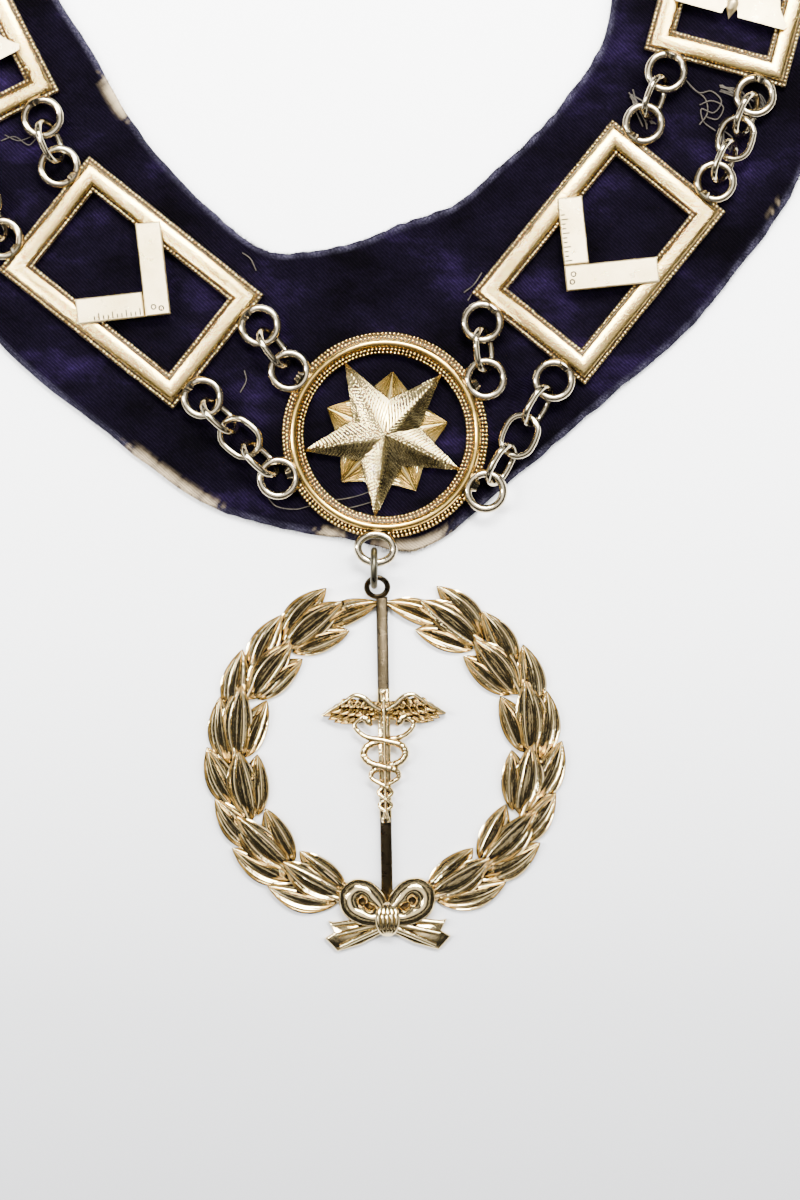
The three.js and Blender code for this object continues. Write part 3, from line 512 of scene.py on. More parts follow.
def floor_material():
    """Pale paper that falls into soft shade towards the near end."""
    material, tree, shader = new_material("pale_floor", (0.83, 0.83, 0.84), 0.0, 0.75)
    split = tree.nodes.new("ShaderNodeSeparateXYZ")
    place = tree.nodes.new("ShaderNodeMapRange")
    place.inputs["From Min"].default_value = FADE_FROM
    place.inputs["From Max"].default_value = FADE_TO
    tree.links.new(coordinates(tree), split.inputs["Vector"])
    tree.links.new(split.outputs["Y"], place.inputs["Value"])
    # Painted shade: the floor's colour darkens towards the near end.
    fade = ramp(tree, place.outputs["Result"], FLOOR_SHADE_TONES)
    mottle = ramp(tree, noise(tree, 0.004, 2.0), [(0.3, (0.97, 0.97, 0.97)), (0.7, (1, 1, 1))])
    tree.links.new(mix(tree, 1.0, fade, mottle, "MULTIPLY"), shader.inputs["Base Color"])
    return material


PLATE_GOLD = metal("plate_gold", (0.9, 0.66, 0.26), (0.62, 0.43, 0.14), (0.1, 0.06, 0.014),
                   roughness=0.1, grain=0.5, pits=0.55, grain_scale=2.2, swell=0.2)
EMBLEM_GOLD = metal("emblem_gold", (0.92, 0.76, 0.44), (0.74, 0.58, 0.28), (0.25, 0.17, 0.07),
                    roughness=0.34, grain=0.6, pits=0.5, grain_scale=3.5)
EYE_METAL = metal("eye_metal", (0.8, 0.7, 0.5), (0.55, 0.46, 0.31), (0.07, 0.055, 0.035),
                  roughness=0.12)
MEDALLION_GOLD = metal("medallion_gold", (0.92, 0.64, 0.2), (0.78, 0.5, 0.12), (0.11, 0.055, 0.01),
                       roughness=0.14)
STAR_GOLD = metal("star_gold", (0.8, 0.64, 0.3), (0.58, 0.45, 0.18), (0.04, 0.028, 0.008),
                  roughness=0.17, grain=0.12, pits=0.25, grain_scale=2.5)
LINK_METAL = metal("link_metal", (0.72, 0.63, 0.44), (0.4, 0.34, 0.23), (0.015, 0.012, 0.007),
                   roughness=0.12)
JUMP_METAL = metal("jump_metal", (0.1, 0.09, 0.06), (0.05, 0.045, 0.03), (0.015, 0.012, 0.008),
                   roughness=0.32)
PENDANT_GOLD = metal("pendant_gold", (0.95, 0.76, 0.41), (0.82, 0.62, 0.29), (0.07, 0.045, 0.02),
                     roughness=0.1, grain=0.25, pits=0.3, grain_scale=0.9, swell=0.25)
STAFF_METAL = metal("staff_metal", (0.042, 0.031, 0.017), (0.022, 0.016, 0.008),
                    (0.075, 0.055, 0.03), roughness=0.28, grain=0.8, pits=0.7, grain_scale=2.5)
PLATE_METALS = [PLATE_GOLD, EMBLEM_GOLD, EYE_METAL, STAFF_METAL]
VELVET = velvet_material()
THREAD = thread_material()


def make_piece(name, shape, materials, replaced=(), sharp=40.0, ride=True):
    """Turns a shape into a Blender object that rides on the body and takes over CAD nodes."""
    mesh = bpy.data.meshes.new(name)
    points = np.concatenate(shape.points) * MM
    mesh.from_pydata(points.tolist(), [], shape.faces)
    for material in materials:
        mesh.materials.append(material)
    mesh.polygons.foreach_set("material_index", np.array(shape.kinds, dtype=np.int32))
    mesh.polygons.foreach_set("use_smooth", np.ones(len(mesh.polygons), dtype=bool))
    mesh.update()
    mesh.set_sharp_from_angle(angle=math.radians(sharp))
    piece = bpy.data.objects.new(name, mesh)
    bpy.context.scene.collection.objects.link(piece)
    if ride:
        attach(piece, "root")
        if replaced:
            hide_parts(*replaced)
    return piece


# Links

def add_links():
    """A fine oval link for each coarse one, set on the same middle and axes."""
    links = [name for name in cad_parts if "_link_" in name]
    for node in sorted(links):
        points = node_points(node)
        box_middle = (points.min(axis=0) + points.max(axis=0)) / 2
        middle = points.mean(axis=0) * 0.5 + box_middle * 0.5
        _, _, axes = np.linalg.svd(points - middle, full_matrices=False)
        if np.linalg.det(axes) < 0:
            axes[2] *= -1
        skin, faces = oval_ring(LINK_LENGTH, LINK_WIDTH, LINK_WIRE)
        shape = Shape()
        shape.add(skin @ axes + middle, faces)
        make_piece(node + "_fine", shape, [LINK_METAL], [node])


def add_jump_ring():
    shape = Shape()
    skin, faces = oval_ring(JUMP_RING_DIAMETER, JUMP_RING_DIAMETER, JUMP_RING_WIRE, squash=0.95)
    turned = np.column_stack([skin[:, 2], skin[:, 1], -skin[:, 0]])
    shape.add(turned + middle_of("pendant_jump_ring"), faces)
    make_piece("jump_ring_fine", shape, [JUMP_METAL], ["pendant_jump_ring"])


# Plates

def rail_profile(width, height):
    """A rail's section from inner to outer edge: a rounded band between two beaded ledges."""
    ledge, rounding = RAIL_LEDGE, RAIL_ROUNDING
    shelf, lip = height - 1.3, height - 1.5
    share = 0.5 - 0.5 * np.cos(np.pi * np.linspace(0, 1, 15))
    band_across = ledge + share * (width - 2 * ledge)
    arch = np.sqrt(np.clip(1 - np.abs(2 * share - 1) ** 2.2, 0, 1))
    band_up = height - RAIL_ARCH + RAIL_ARCH * arch
    across = [rounding, 0.0, 0.0, rounding, ledge - 0.1, *band_across, width - ledge + 0.1,
              width - rounding, width, width, width - rounding]
    up = [0.0, rounding, lip, shelf, shelf, *band_up, shelf, shelf, lip, rounding, 0.0]
    return np.column_stack([across, up])


def ledge_kinds(sections, across):
    """The dark metal for the ledges under the beads, painted shade between the beads, and the first metal
    for the band.
    """
    place = np.arange(across)
    ledge = ((place >= 2) & (place <= 4)) | ((place >= across - 6) & (place <= across - 4))
    return np.tile(np.where(ledge, DARK, 0), sections)


def rectangle_row(half_x, half_y, pitch):
    """Points at an even pitch round a rectangle."""
    points = []
    for start, end in (((-1, -1), (1, -1)), ((1, -1), (1, 1)), ((1, 1), (-1, 1)), ((-1, 1), (-1, -1))):
        a, b = np.array(start) * [half_x, half_y], np.array(end) * [half_x, half_y]
        count = max(2, round(np.linalg.norm(b - a) / pitch))
        points += [a + (b - a) * k / count for k in range(count)]
    return np.array(points)


def plate_frame(shape):
    profile = rail_profile(PLATE_RAIL, PLATE_HEIGHT)
    half = np.array([PLATE_LENGTH / 2 - PLATE_RAIL, PLATE_WIDTH / 2 - PLATE_RAIL])
    sections = []
    for corner in ((1, 1), (-1, 1), (-1, -1), (1, -1)):
        flat = (half + profile[:, :1]) * corner
        sections.append(np.column_stack([flat, METAL_BASE + profile[:, 1]]))
    shape.add(np.stack(sections), loop_faces(4, len(profile)), ledge_kinds(4, len(profile)))
    for inset in (RAIL_BEAD_INSET, PLATE_RAIL - RAIL_BEAD_INSET):
        row = rectangle_row(half[0] + inset, half[1] + inset, RAIL_BEAD_PITCH)
        high = np.full(len(row), METAL_BASE + PLATE_HEIGHT - 1.1)
        beads(shape, np.column_stack([row, high]), RAIL_BEAD_RADIUS)


def soldered_eye(shape, centre, root, tip):
    """A round eye, with a blob of solder from root to tip."""
    skin, faces = oval_ring(EYE_DIAMETER, EYE_DIAMETER, EYE_WIRE)
    shape.add(skin + (*centre, EYE_HEIGHT), faces, EYES)
    blob = [(*place, EYE_HEIGHT - 0.35) for place in (root, tip)]
    shape.add(*tube(blob, [2.4, 1.5], 12), EYES)


def plate_eyes(shape):
    half = PLATE_LENGTH / 2
    for end in (-1, 1):
        for y in (-EYE_SPACING / 2, EYE_SPACING / 2):
            soldered_eye(shape, *((end * (half + x), y) for x in (EYE_REACH, -0.5, 0.7)))


def square_emblem(shape):
    """A builder's square: one arm ends at a joint line and carries ruler ticks, one has rivets."""
    corner, length, width = np.array(SQUARE_CORNER), SQUARE_ARM, SQUARE_WIDTH
    base = METAL_BASE + PLATE_HEIGHT - EMBLEM_SINK
    top = base + EMBLEM_THICKNESS
    along, aside = unit(-45), unit(45)
    rivet_arm = [corner, corner + along * length, corner + aside * width + along * length,
                 corner + aside * width]
    shape.add(*prism(rivet_arm, base, top, EMBLEM_BEVEL), SECOND)
    begin = corner + aside * (width + SQUARE_JOINT)
    tick_arm = [begin, begin + along * width, corner + aside * length + along * width,
                corner + aside * length]
    shape.add(*prism(tick_arm, base, top - 0.1, EMBLEM_BEVEL), SECOND)
    rule = corner + aside * (width + 1.2)
    for k in range(RULER_TICKS):
        foot = rule + aside * RULER_STEP * k + along * 0.45
        reach = LONG_TICK if k % 3 == 0 else SHORT_TICK
        tick = np.array([[*foot, top - 0.05], [*(foot + along * reach), top - 0.05]])
        shape.add(*tube(tick, 0.16, 5), DARK)
    for k in (0, 1):
        place = corner + aside * (2.1 + 1.9 * k) + along * (1.6 + 0.5 * k)
        skin, faces = oval_ring(1.5, 1.5, 0.36, 16, 6)
        shape.add(skin + (*place, top), faces, DARK)


def level_emblem(shape):
    """A level: a bar with hollowed ends over the rails, an upright, and a pointed plumb."""
    base = METAL_BASE + PLATE_HEIGHT - EMBLEM_SINK
    top = base + EMBLEM_THICKNESS
    half, low, high = LEVEL_HALF, LEVEL_LOW, LEVEL_HIGH
    turn = np.radians(np.linspace(90, -90, 9))
    notch = [(low + 2.6 * math.cos(t), 2.3 * math.sin(t)) for t in turn]
    hollow = np.linspace(0, 1, 6)
    right_end = [(low + 0.8 + (high - low - 0.8) * t, half - 3.4 * math.sin(np.pi * t / 2))
                 for t in hollow]
    left_end = [(x, -y) for x, y in reversed(right_end)]
    outline = [(low, half - 0.5), *notch, (low, 0.5 - half), *reversed(left_end), *reversed(right_end)]
    shape.add(*prism(np.array(outline)[::-1], base, top, EMBLEM_BEVEL), SECOND)
    upright = [(high - 0.5, -2.5), (9.0, -2.1), (10.4, 0.0), (9.0, 2.1), (high - 0.5, 2.5)]
    shape.add(*prism(upright, base, top - 0.2, EMBLEM_BEVEL), SECOND)
    line = [(8.0, 0.0, top), (-10.0, 0.0, top)]
    shape.add(*tube(line, 0.3, 8))
    bob = smooth_path([(-9.6, 0, top), (-11.5, 0, top), (-13.4, 0, top - 0.4), (-15.4, 0, top - 0.7)], 14)
    bob_radii = np.interp(np.arange(14), [0, 4, 8, 13], [0.8, 1.5, 1.2, 0.08])
    shape.add(*tube(bob, bob_radii, 14), SECOND)


def add_plates():
    for side, headings in PLATE_HEADINGS.items():
        for number, heading in enumerate(headings, 1):
            node = f"plate_{side}_{number}"
            shape = Shape()
            plate_frame(shape)
            plate_eyes(shape)
            (square_emblem if number % 2 else level_emblem)(shape)
            shape.moved(heading, middle_of(node)[:2])
            make_piece(node + "_fine", shape, PLATE_METALS, [node], sharp=44)


# Medallion

def fluted_point(shape, tip, valley_radius, base, rise, flutes, fan, size):
    """One star point as two facets that fall from a ridge, grooved across or, as a fan, along."""
    rows, cols = size
    along = np.linspace(0, 1, rows)
    for side in (-1, 1):
        valley = valley_radius * unit(tip[1] + 36 * side)
        point = tip[0] * unit(tip[1])
        grid = np.zeros((rows, cols, 3))
        for j, out in enumerate(np.linspace(0, 1, cols)):
            ridge = along[:, None] * point[None, :] * 0.995
            edge = valley[None, :] + along[:, None] * (point - valley)[None, :]
            flat = ridge * (1 - out) + edge * out
            place = out * flutes if fan else along * flutes - out * 3
            groove = 0.24 * np.cos(2 * np.pi * place) * np.minimum(1, out * 4)
            high = base + 0.9 + rise * (1 - out) * (1 - along * 0.78) + groove * (1 - along**4)
            grid[:, j] = np.column_stack([flat, high])
        if side > 0:
            grid = grid[:, ::-1]
        shape.add(*grid_body(grid[:, ::-1], base), SECOND)


def medallion_ring(shape):
    rail = (MEDALLION_DIAMETER - MEDALLION_OPENING) / 2
    inner = MEDALLION_OPENING / 2
    share = 0.5 - 0.5 * np.cos(np.pi * np.linspace(0, 1, 13))
    band = 1.7 + share * (rail - 3.4)
    arch = MEDALLION_HEIGHT - 1.3 + 1.3 * np.sqrt(np.clip(1 - (2 * share - 1) ** 2, 0, 1))
    ledge = MEDALLION_HEIGHT - 1.7
    across = [0.15, 0, 0, 0.2, *band, rail - 0.2, rail, rail, rail - 0.15]
    up = [0, 0.15, ledge - 0.2, ledge, *arch, ledge, ledge - 0.2, 0.15, 0]
    steps = 120
    sections = []
    for k in range(steps):
        out = unit(360 * k / steps)
        flat = out[None, :] * (inner + np.array(across))[:, None]
        sections.append(np.column_stack([flat, METAL_BASE + np.array(up)]))
    # The ledges under the beads take the dark metal: painted shade between the beads.
    place = np.arange(len(across))
    bare_spots_and_ledge_shade = (place == 2) | (place == 3) | (place == len(across) - 5) | (place == len(across) - 4)
    kinds = np.tile(np.where(bare_spots_and_ledge_shade, DARK, 0), steps)
    shape.add(np.stack(sections), loop_faces(steps, len(across)), kinds)
    high = METAL_BASE + ledge
    for radius, size, lift in ((inner + 0.45, 0.43, 0.1), (inner + 1.28, 0.43, 0.25),
                               (inner + rail - 0.45, 0.45, 0.1), (inner + rail - 1.3, 0.45, 0.25)):
        count = int(2 * math.pi * radius / (size * 2.25))
        centres = [[*(unit(360 * k / count) * radius), high + lift] for k in range(count)]
        beads(shape, centres, size)


def add_medallion():
    shape = Shape()
    medallion_ring(shape)
    base = METAL_BASE + 0.6
    tip = MEDALLION_OPENING / 2 + 0.6
    for k in range(5):
        back = (BACK_STAR_RADIUS, STAR_TURN + 36 + 72 * k)
        fluted_point(shape, back, BACK_STAR_RADIUS * 0.72, base, 0.4, 5, True, (8, 41))
        front = (tip, STAR_TURN + 72 * k)
        fluted_point(shape, front, tip * STAR_VALLEY, base + 0.7, 2.3, 19, False, (153, 6))
    edge = MEDALLION_DIAMETER / 2
    for angle in MEDALLION_EYES:
        reach = (EYE_DIAMETER - EYE_WIRE) / 2 - 1.5
        soldered_eye(shape, *(unit(angle) * (edge + x) for x in (reach, -0.6, 0.8)))
    skin, faces = oval_ring(BOTTOM_EYE_LENGTH, BOTTOM_EYE_WIDTH, EYE_WIRE)
    bottom = Shape()
    bottom.add(skin, faces)
    bottom.moved(BOTTOM_EYE_ANGLE, unit(BOTTOM_EYE_ANGLE) * (edge + BOTTOM_EYE_REACH))
    shape.add(bottom.points[0] + (0, 0, EYE_HEIGHT), faces, EYES)
    shape.moved(0, MEDALLION)
    make_piece("medallion_fine", shape, [MEDALLION_GOLD, STAR_GOLD, EYE_METAL, STAFF_METAL],
               ["medallion"], sharp=44)


# Pendant, about the wreath's centre, on the surface

def leaf(shape, tip, base, width, low, bend=0.0, thick=1.3, grid=(22, 25)):
    """A laurel leaf or feather: a swelling body with a midrib, folds, grooves and a raised rim."""
    s = np.linspace(0, 1, grid[0])[:, None]
    t = np.linspace(-1, 1, grid[1])[None, :]
    along = tip - base
    aside = np.array([-along[1], along[0]]) / np.linalg.norm(along)
    half = width / 2 * np.clip(np.sin(np.pi * s**0.9), 0, 1) ** 0.8 + 0.03
    x = base[0] + along[0] * s + aside[0] * (half * t + bend * np.sin(np.pi * s))
    y = base[1] + along[1] * s + aside[1] * (half * t + bend * np.sin(np.pi * s))
    full = np.clip(np.sin(np.pi * s), 0, 1) ** 0.5
    body = np.exp(-(t / 0.36) ** 2)
    side_folds = 0.5 * np.exp(-((np.abs(t) - 0.66) / 0.13) ** 2)
    rim = 0.45 * np.exp(-((np.abs(t) - 0.95) / 0.09) ** 2)
    midrib = 0.14 * np.exp(-(t / 0.07) ** 2)
    grooves = 0.025 * np.cos(2 * np.pi * (3 * t + 0.5 * s))
    high = low + 0.5 + 0.8 * s + full * thick * (body + side_folds + midrib + grooves)
    high = high + (0.4 + 0.6 * full) * rim
    shape.add(*grid_body(np.dstack([x, y, high]), min(low, 0.4)))


def wreath(shape):
    for side in (-1, 1):
        for count, first, step, behind, tip_radius, base, swing, width, low in LEAF_ROWS:
            for k in range(count):
                angle, tip = first + step * k, tip_radius + swing * (k % 2)
                ends = [WREATH_RADIUS * r * unit(-90 + side * a)
                        for r, a in ((tip, angle), (base, angle - behind))]
                leaf(shape, *ends, width, low, side * -0.8)
        stem = [(*(WREATH_RADIUS * unit(-90 + side * a)), 0.9) for a in np.linspace(16, 168, 60)]
        shape.add(*tube(stem, 0.85, 10))


def staff(shape):
    half = STAFF_WIDTH / 2
    top, foot = WREATH_RADIUS + STAFF_TOP_REACH, -WREATH_RADIUS - 1.1
    bar = [(-half, foot), (half, foot), (half, top), (-half, top)]
    shape.add(*prism(bar, 0.1, STAFF_THICKNESS - 0.3, 0.35), SECOND)


def snakes(shape):
    for side in (1, -1):
        route = [(side * x * CADUCEUS_SIZE, y * CADUCEUS_SIZE, ROD_HEIGHT + SNAKE_LIFT * side * over)
                 for x, y, over in SNAKE_ROUTE]
        path = smooth_path(route, SNAKE_POINTS)
        share = np.linspace(0, 1, SNAKE_POINTS)
        scales = 1 + SNAKE_SCALE_DEPTH * np.cos(2 * np.pi * SNAKE_SCALES * share)
        radius = np.interp(share, *SNAKE_RADII)
        shape.add(*tube(path, radius * scales, 12))


def wings(shape):
    size = CADUCEUS_SIZE
    for side in (-1, 1):
        mirror = np.array([side * size, size])
        crest = smooth_path(WING_CREST, 41) * (side * size, size, 1)
        shape.add(*tube(crest, np.linspace(0.95, 0.35, 41), 12))
        for count, length, heading, low, tips in FEATHER_ROWS:
            for tip in smooth_path(tips, count):
                root = tip - length * unit(heading)
                leaf(shape, tip * mirror, root * mirror, FEATHER_WIDTH, low, 0.0, FEATHER_THICK,
                     FEATHER_GRID)


def winged_rod(shape):
    """The rod that carries the wings, with its ball, on a gold strip over the staff."""
    size = CADUCEUS_SIZE
    for place, radius in ((1.05, 1.1), (0.93, 0.8)):
        beads(shape, [(0, place * size, STAFF_THICKNESS + 0.2)], radius)
    rod = [(0, y * size, ROD_HEIGHT) for y in np.linspace(1.0, -1.0, 20)]
    shape.add(*tube(rod, np.linspace(0.75, 0.55, 20), 10))
    half = STAFF_WIDTH / 2 + 0.1
    strip = [(-half, -size), (half, -size), (half, 1.1 * size), (-half, 1.1 * size)]
    shape.add(*prism(strip, 0.1, STAFF_THICKNESS, 0.3))


def bow_place(point, knot, side):
    """Places in bow widths turned into millimetres, mirrored where side is 1, the right."""
    return np.array(point) * np.array([-side, 1]) * BOW_WIDTH + knot


def bow_loop(shape, knot, side):
    """A loop of wide ribbon round a dark hollow."""
    loop = smooth_path(bow_place(BOW_LOOP, knot, side), 60, closed=True)
    middle = loop.mean(axis=0)
    angle = 2 * np.pi * np.arange(20) / 20
    across = 2.7 * np.cos(angle) - 1.2
    high = 2.2 + 1.9 * np.sin(angle) + 0.2 * np.cos(4 * angle)
    sections = []
    for point in loop:
        out = (point - middle) / np.linalg.norm(point - middle)
        sections.append(np.column_stack([point + out[None, :] * across[:, None], high]))
    shape.add(np.stack(sections), loop_faces(len(loop), len(angle))[:, ::side])
    hollow = middle + (loop - middle) * 0.6
    shape.add(*prism(hollow[::-side], 0.2, 0.9, 0.2), SECOND)


def bow_tail(shape, knot, side):
    """A forked tail with folds along it."""
    tail = bow_place(BOW_TAIL, knot, side)
    shape.add(*prism(tail[::-side], 0.1, 1.6, 0.35))
    for start, end in BOW_FOLDS:
        half_way = (np.array(start) + end) / 2
        route = [(*bow_place(p, knot, side), z) for p, z in ((start, 2.2), (half_way, 1.9), (end, 1.4))]
        shape.add(*tube(smooth_path(route, 20), np.linspace(0.9, 0.65, 20), 10))


def bow(shape):
    knot = np.array([0, -WREATH_RADIUS * 1.08])
    for side in (-1, 1):
        bow_loop(shape, knot, side)
        bow_tail(shape, knot, side)
    for x in np.linspace(-2.2, 2.2, 5):
        strip = [(knot[0] + x * 1.05 * math.cos(a), knot[1] + 3.9 * math.sin(a), 1.6 + 3.0 * math.cos(a))
                 for a in np.linspace(-1.45, 1.45, 16)]
        shape.add(*tube(strip, 0.78, 10))


def pendant_ring(shape):
    """The ring at the staff's top, tilted up to the jump ring."""
    radius, tilt = PENDANT_RING_REACH, math.radians(PENDANT_RING_TILT)
    skin, faces = oval_ring(PENDANT_RING_DIAMETER, PENDANT_RING_DIAMETER, PENDANT_RING_WIRE)
    x, y, z = skin.T
    lifted = np.column_stack([x, y * math.cos(tilt), z + y * math.sin(tilt)])
    height = STAFF_THICKNESS / 2 + radius * math.sin(tilt) + 0.6
    reach = WREATH_RADIUS + STAFF_TOP_REACH + radius * math.cos(tilt)
    shape.add(lifted + (PENDANT_RING_ASIDE, reach, height), faces, SECOND)


def add_pendant():
    shape = Shape()
    wreath(shape)
    staff(shape)
    snakes(shape)
    wings(shape)
    winged_rod(shape)
    bow(shape)
    pendant_ring(shape)
    shape.moved(PENDANT_LEAN, WREATH)
    make_piece("wreath_fine", shape, [PENDANT_GOLD, STAFF_METAL], ["wreath_pendant"],
               sharp=50)


# Velvet

def velvet_edges(count):
    """The inner and outer edge of the band, point by point round the loop."""
    inner, outer = [], []
    for row in FRONT_SECTIONS:
        inner.append(MEDALLION + np.array(row[:2]) * BAND_WIDTH)
        outer.append(MEDALLION + np.array(row[2:]) * BAND_WIDTH)
    back = {}
    for side, inwards, share in (("right", 90, BAND_INSIDE_RIGHT), ("left", -90, BAND_INSIDE_LEFT)):
        rows = []
        for number in range(2, 6):
            heading = PLATE_HEADINGS[side][number - 1]
            centre = middle_of(f"plate_{side}_{number}")[:2]
            inside = unit(heading + inwards)
            rows.append((centre + inside * BAND_WIDTH * share,
                         centre - inside * BAND_WIDTH * (1 - share)))
        far = centre + unit(heading) * (PLATE_LENGTH / 2 + EYE_REACH)
        back[side] = (far + inside * EYE_SPACING / 2, far - inside * EYE_SPACING / 2, rows)
    middle = (back["left"][0] + back["right"][0]) / 2
    outwards = back["left"][1] + back["right"][1] - 2 * middle
    outwards /= np.linalg.norm(outwards)
    beside = (BAND_WIDTH - EYE_SPACING) / 2
    turn = (middle - outwards * beside, middle + outwards * (EYE_SPACING + beside) * BACK_POINT)
    for a, b in [*back["right"][2], turn, *reversed(back["left"][2])]:
        inner.append(a)
        outer.append(b)
    return smooth_path(inner, count, True), smooth_path(outer, count, True)


def wrinkles(x, y):
    """Soft folds and dents of the cloth: a few crossing waves, in millimetres."""
    high = 0.22 * np.sin(0.09 * x + 0.05 * y + 1.3 * np.sin(0.045 * y))
    high += 0.16 * np.sin(0.16 * x - 0.12 * y + 1.7 * np.sin(0.06 * x + 2.0))
    high += 0.1 * np.sin(0.35 * x + 0.22 * y + 2.0 * np.sin(0.11 * y + 0.5))
    return high


def pressed_by_links(high, x, y):
    """Presses a hollow into the cloth under each link."""
    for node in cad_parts:
        if "_link_" in node:
            middle = middle_of(node)
            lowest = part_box(node)[0][2] / MM
            away = np.maximum(0, np.hypot(x - middle[0], y - middle[1]) - LINK_HOLLOW_RADIUS)
            high = np.minimum(high, lowest - LINK_CLEARANCE + 0.1 * away**2)
    return np.maximum(high, 0.45)


def velvet_heights(x, y, near_edge):
    """The cloth's height: a rounded edge, wrinkles, a soft ridge, and hollows under the links."""
    roll = np.sqrt(np.clip(1 - (1 - np.clip(near_edge / 2.6, 0, 1)) ** 2, 0, 1))
    high = 1.4 + roll * (VELVET_TOP - 1.55 + wrinkles(x, y) * np.clip(near_edge / 9, 0, 1))
    high += 0.25 * np.exp(-((near_edge - 5) / 2.2) ** 2) * np.sin(0.3 * x - 0.25 * y)
    return pressed_by_links(np.minimum(high, VELVET_TOP + 0.15), x, y)


def velvet_top(inner, line, width):
    """A grid of points over the cloth, and how far each is from the nearer edge."""
    stations, even = len(inner), np.linspace(0, 1, VELVET_ACROSS)
    wobble = np.interp(np.arange(stations), np.arange(0, stations + 4, 4),
                       rng.normal(0, 0.18, stations // 4 + 1))
    share = (0.5 - 0.5 * np.cos(np.pi * even)) * 0.6 + even * 0.4
    flat = inner[:, None, :] + line[:, None, :] * share[None, :, None]
    flat[:, 0] -= line / width[:, None] * wobble[:, None]
    flat[:, -1] += line / width[:, None] * np.roll(wobble, 40)[:, None]
    near_edge = np.minimum(share, 1 - share)[None, :] * width[:, None]
    return np.dstack([flat, velvet_heights(flat[..., 0], flat[..., 1], near_edge)]), near_edge


def add_velvet():
    inner, outer = velvet_edges(VELVET_STATIONS)
    line = outer - inner
    width = np.linalg.norm(line, axis=1)
    top, near_edge = velvet_top(inner, line, width)
    under = inner[:, None, :] + line[:, None, :] * np.array(VELVET_UNDERSIDE)[None, :, None]
    low = np.dstack([under, np.full(under.shape[:2], 0.0)])
    sections = np.concatenate([top, low], axis=1)
    shape = Shape()
    shape.add(sections, loop_faces(*sections.shape[:2])[:, ::-1])
    piece = make_piece("velvet_cloth", shape, [VELVET], ["velvet_collar"], sharp=180)
    points = sections.reshape(-1, 3)
    add_wear(piece, points, np.concatenate([near_edge, np.zeros(under.shape[:2])], axis=1).reshape(-1))
    return inner, outer


# Bare, pale spots where the pile is gone: pixel of the photograph, and size in millimetres.
BARE_SPOTS = ((112, 94, 4), (140, 463, 4), (163, 480, 5), (186, 493, 4), (398, 547, 6),
              (414, 550, 5), (428, 545, 5), (767, 208, 1.4), (774, 197, 1.4), (118, 104, 3),
              (205, 505, 3), (330, 538, 3))


def add_wear(piece, points, near_edge):
    """Vertex values for worn pile along the edges and for bare spots."""
    worn = np.clip(1 - near_edge / 1.9, 0, 1) * (0.35 + 0.65 * np.sin(points[:, 0] * 0.37
                                                                 + points[:, 1] * 0.29) ** 2)
    bare_spots_and_ledge_shade = np.zeros(len(points))
    for x, y, size in BARE_SPOTS:
        place = photo_place(x, y)
        away = np.hypot(points[:, 0] - place[0], points[:, 1] - place[1]) / size
        ragged = 1 + 0.35 * np.sin(points[:, 0] * 2.1) * np.sin(points[:, 1] * 1.7)
        bare_spots_and_ledge_shade = np.maximum(bare_spots_and_ledge_shade, np.clip(1.3 - away * ragged, 0, 1) * np.clip(1.2 - near_edge / 2.4, 0, 1))
    for name, values in (("wear", worn), ("bare_spots_and_ledge_shade", bare_spots_and_ledge_shade)):
        attribute = piece.data.attributes.new(name, "FLOAT", "POINT")
        attribute.data.foreach_set("value", values.astype(np.float32))


def add_fuzz(inner, outer):
    """Short loose fibres of pile along both edges, each a thin closed spike."""
    shape = Shape()
    for edge, sign in ((inner, -1), (outer, 1)):
        tangent = np.roll(edge, -1, axis=0) - np.roll(edge, 1, axis=0)
        tangent /= np.linalg.norm(tangent, axis=1)[:, None]
        other = outer if sign < 0 else inner
        out = edge - other
        out /= np.linalg.norm(out, axis=1)[:, None]
        for k in rng.integers(0, len(edge), FUZZ_FIBRES):
            slide = rng.uniform(-1.2, 1.2)
            foot = edge[k] + tangent[k] * slide - out[k] * 0.5
            lean = out[k] * rng.uniform(0.5, 1.5) + tangent[k] * rng.normal(0, 0.6)
            low = rng.uniform(0.5, 2.6)
            end = np.array([*(foot + lean * rng.uniform(0.5, 1.0)), max(0.1, low + rng.normal(0, 0.5))])
            wide = tangent[k] * FUZZ_HALF_WIDTH
            base = np.array([[*(foot - wide), low], [*(foot + wide), low], [*foot, low + 0.09]])
            shape.add(np.vstack([base, end]), [(0, 2, 1), (0, 1, 3), (1, 2, 3), (2, 0, 3)])
    make_piece("velvet_fuzz", shape, [VELVET], sharp=180)


# Loose stitching threads: pixels of the photograph, and the thread's thickness.
THREADS = (
    (((690, 84), (700, 92), (712, 90), (722, 100), (714, 112), (702, 108), (704, 120), (716, 130)), 0.34),
    (((684, 76), (694, 88), (706, 98), (708, 112), (700, 124)), 0.34),
    (((700, 104), (712, 100), (724, 106), (718, 118), (706, 116)), 0.32),
    (((310, 488), (330, 499), (352, 497), (372, 490), (380, 484)), 0.26),
    (((268, 498), (276, 506), (296, 509), (318, 504), (345, 508), (378, 500)), 0.26),
    (((0, 140), (14, 136), (28, 144), (35, 138)), 0.28),
    (((4, 134), (18, 140), (30, 136)), 0.25),
    (((468, 300), (476, 288), (486, 280), (492, 270)), 0.34),
    (((464, 292), (474, 284), (482, 272)), 0.3),
    (((256, 270), (250, 258), (242, 252)), 0.28),
    (((240, 392), (246, 380), (244, 370)), 0.3),
)

# Tufts of stitching: where they start and end in pixels of the photograph, and how many strands.
TUFTS = (
    ((630, 93), (652, 126), 7),
    ((722, 88), (746, 104), 6),
    ((752, 96), (768, 108), 4),
    ((722, 128), (728, 148), 5),
)


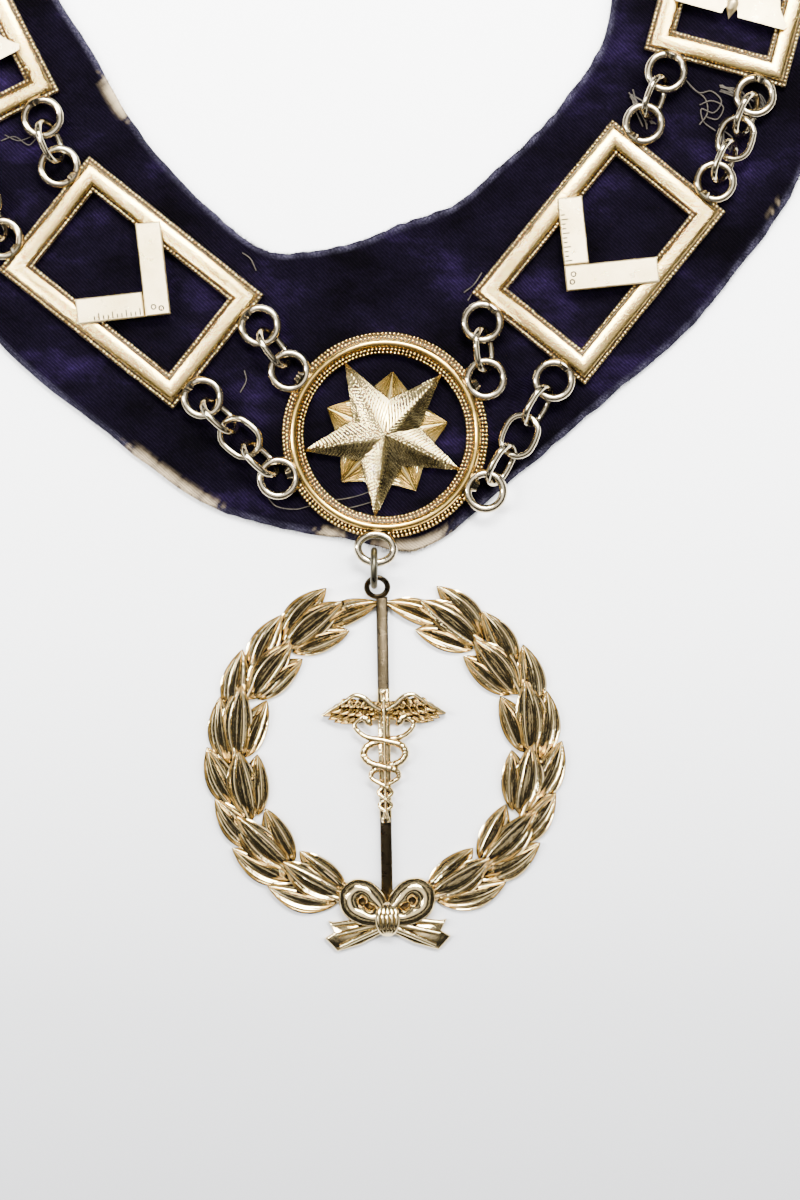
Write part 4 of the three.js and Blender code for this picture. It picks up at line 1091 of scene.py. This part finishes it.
def add_threads():
    shape = Shape()
    for pixels, thick in THREADS:
        route = [(*photo_place(x, y), 3.4 + 0.35 * math.sin(1.9 * k)) for k, (x, y) in enumerate(pixels)]
        shape.add(*tube(smooth_path(route, 12 * len(pixels)), thick / 2, 6))
    for start, end, count in TUFTS:
        for k in range(count):
            a = photo_place(*start) + rng.normal(0, 0.5, 2)
            b = photo_place(*end) + rng.normal(0, 1.0, 2)
            bent = (a + b) / 2 + rng.normal(0, 1.0, 2)
            route = [(*a, 3.2), (*bent, 3.9 + 0.1 * k), (*b, 3.3)]
            shape.add(*tube(smooth_path(route, 16), 0.19, 6))
    make_piece("stitching_threads", shape, [THREAD])


# Stage

# Lights: name, place and size in metres, watts, and whether polished metal reflects it.
LIGHTS = (
    ("key", (0.15, 0.55, 1.1), (0.7, 0.35), 80, True),
    ("left", (-0.9, -0.1, 0.8), (0.25, 0.9), 40, False),
    ("glint", (-0.7, -0.1, 1.0), (0.04, 0.5), 17, True),
    ("right", (0.9, 0.1, 0.8), (0.25, 0.9), 48, False),
)
LIGHT_AIM = (0.0, -0.1, 0.0)
# The sky's tone by the sine of the height above the horizon.
SKY_TONES = ((0.0, 0.12), (0.1, 0.008), (0.48, 0.008), (0.5, 0.5), (0.52, 0.5), (0.54, 0.008),
             (0.82, 0.008), (0.92, 0.2), (0.98, 0.5))
SKY_TINT, SKY_STRENGTH = (1, 0.97, 0.93), 3.5
FLOOR_REACH = 3000.0
CAMERA_LENS, CAMERA_HEIGHT = 99.6, 0.835


def add_floor():
    shape = Shape()
    reach = FLOOR_REACH
    shape.add([(-reach, -reach, 0), (reach, -reach, 0), (reach, reach, 0), (-reach, reach, 0)],
              [(0, 1, 2, 3)])
    floor = make_piece("floor", shape, [floor_material()], ride=False)


def add_light(name, place, size, power, mirrored):
    """A soft light aimed at the chain; mirrored is whether polished metal reflects it."""
    data = bpy.data.lights.new(name, "AREA")
    data.shape = "RECTANGLE"
    data.size, data.size_y = size
    data.energy = power
    light = bpy.data.objects.new(name, data)
    light.location = place
    light.visible_glossy = mirrored
    direction = np.array(LIGHT_AIM) - np.array(place)
    flat = math.hypot(direction[0], direction[1])
    light.rotation_euler = (math.atan2(flat, -direction[2]), 0, math.atan2(direction[1], direction[0])
                            - math.pi / 2)
    bpy.context.scene.collection.objects.link(light)


def add_world():
    """A bright sky overhead, a narrow band half-way up and a dull horizon, for contrast in metal."""
    world = bpy.data.worlds.new("studio")
    bpy.context.scene.world = world
    world.use_nodes = True
    tree = world.node_tree
    split = tree.nodes.new("ShaderNodeSeparateXYZ")
    tree.links.new(coordinates(tree, "Generated"), split.inputs["Vector"])
    stops = [(place, tuple(tone * share for share in SKY_TINT)) for place, tone in SKY_TONES]
    sky = ramp(tree, split.outputs["Z"], stops)
    tree.links.new(sky, tree.nodes["Background"].inputs["Color"])
    tree.nodes["Background"].inputs["Strength"].default_value = SKY_STRENGTH


def add_camera():
    centre = photo_place(*PHOTO_CENTRE) * MM
    data = bpy.data.cameras.new("camera")
    data.lens = CAMERA_LENS
    data.sensor_width = 36.0
    data.clip_end = 20.0
    camera = bpy.data.objects.new("camera", data)
    camera.location = (centre[0], centre[1], CAMERA_HEIGHT)
    bpy.context.scene.collection.objects.link(camera)
    bpy.context.scene.camera = camera


add_camera()
add_links()
add_jump_ring()
add_plates()
add_medallion()
add_pendant()
INNER_EDGE, OUTER_EDGE = add_velvet()
add_fuzz(INNER_EDGE, OUTER_EDGE)
add_threads()
add_floor()
add_world()
for light in LIGHTS:
    add_light(*light)
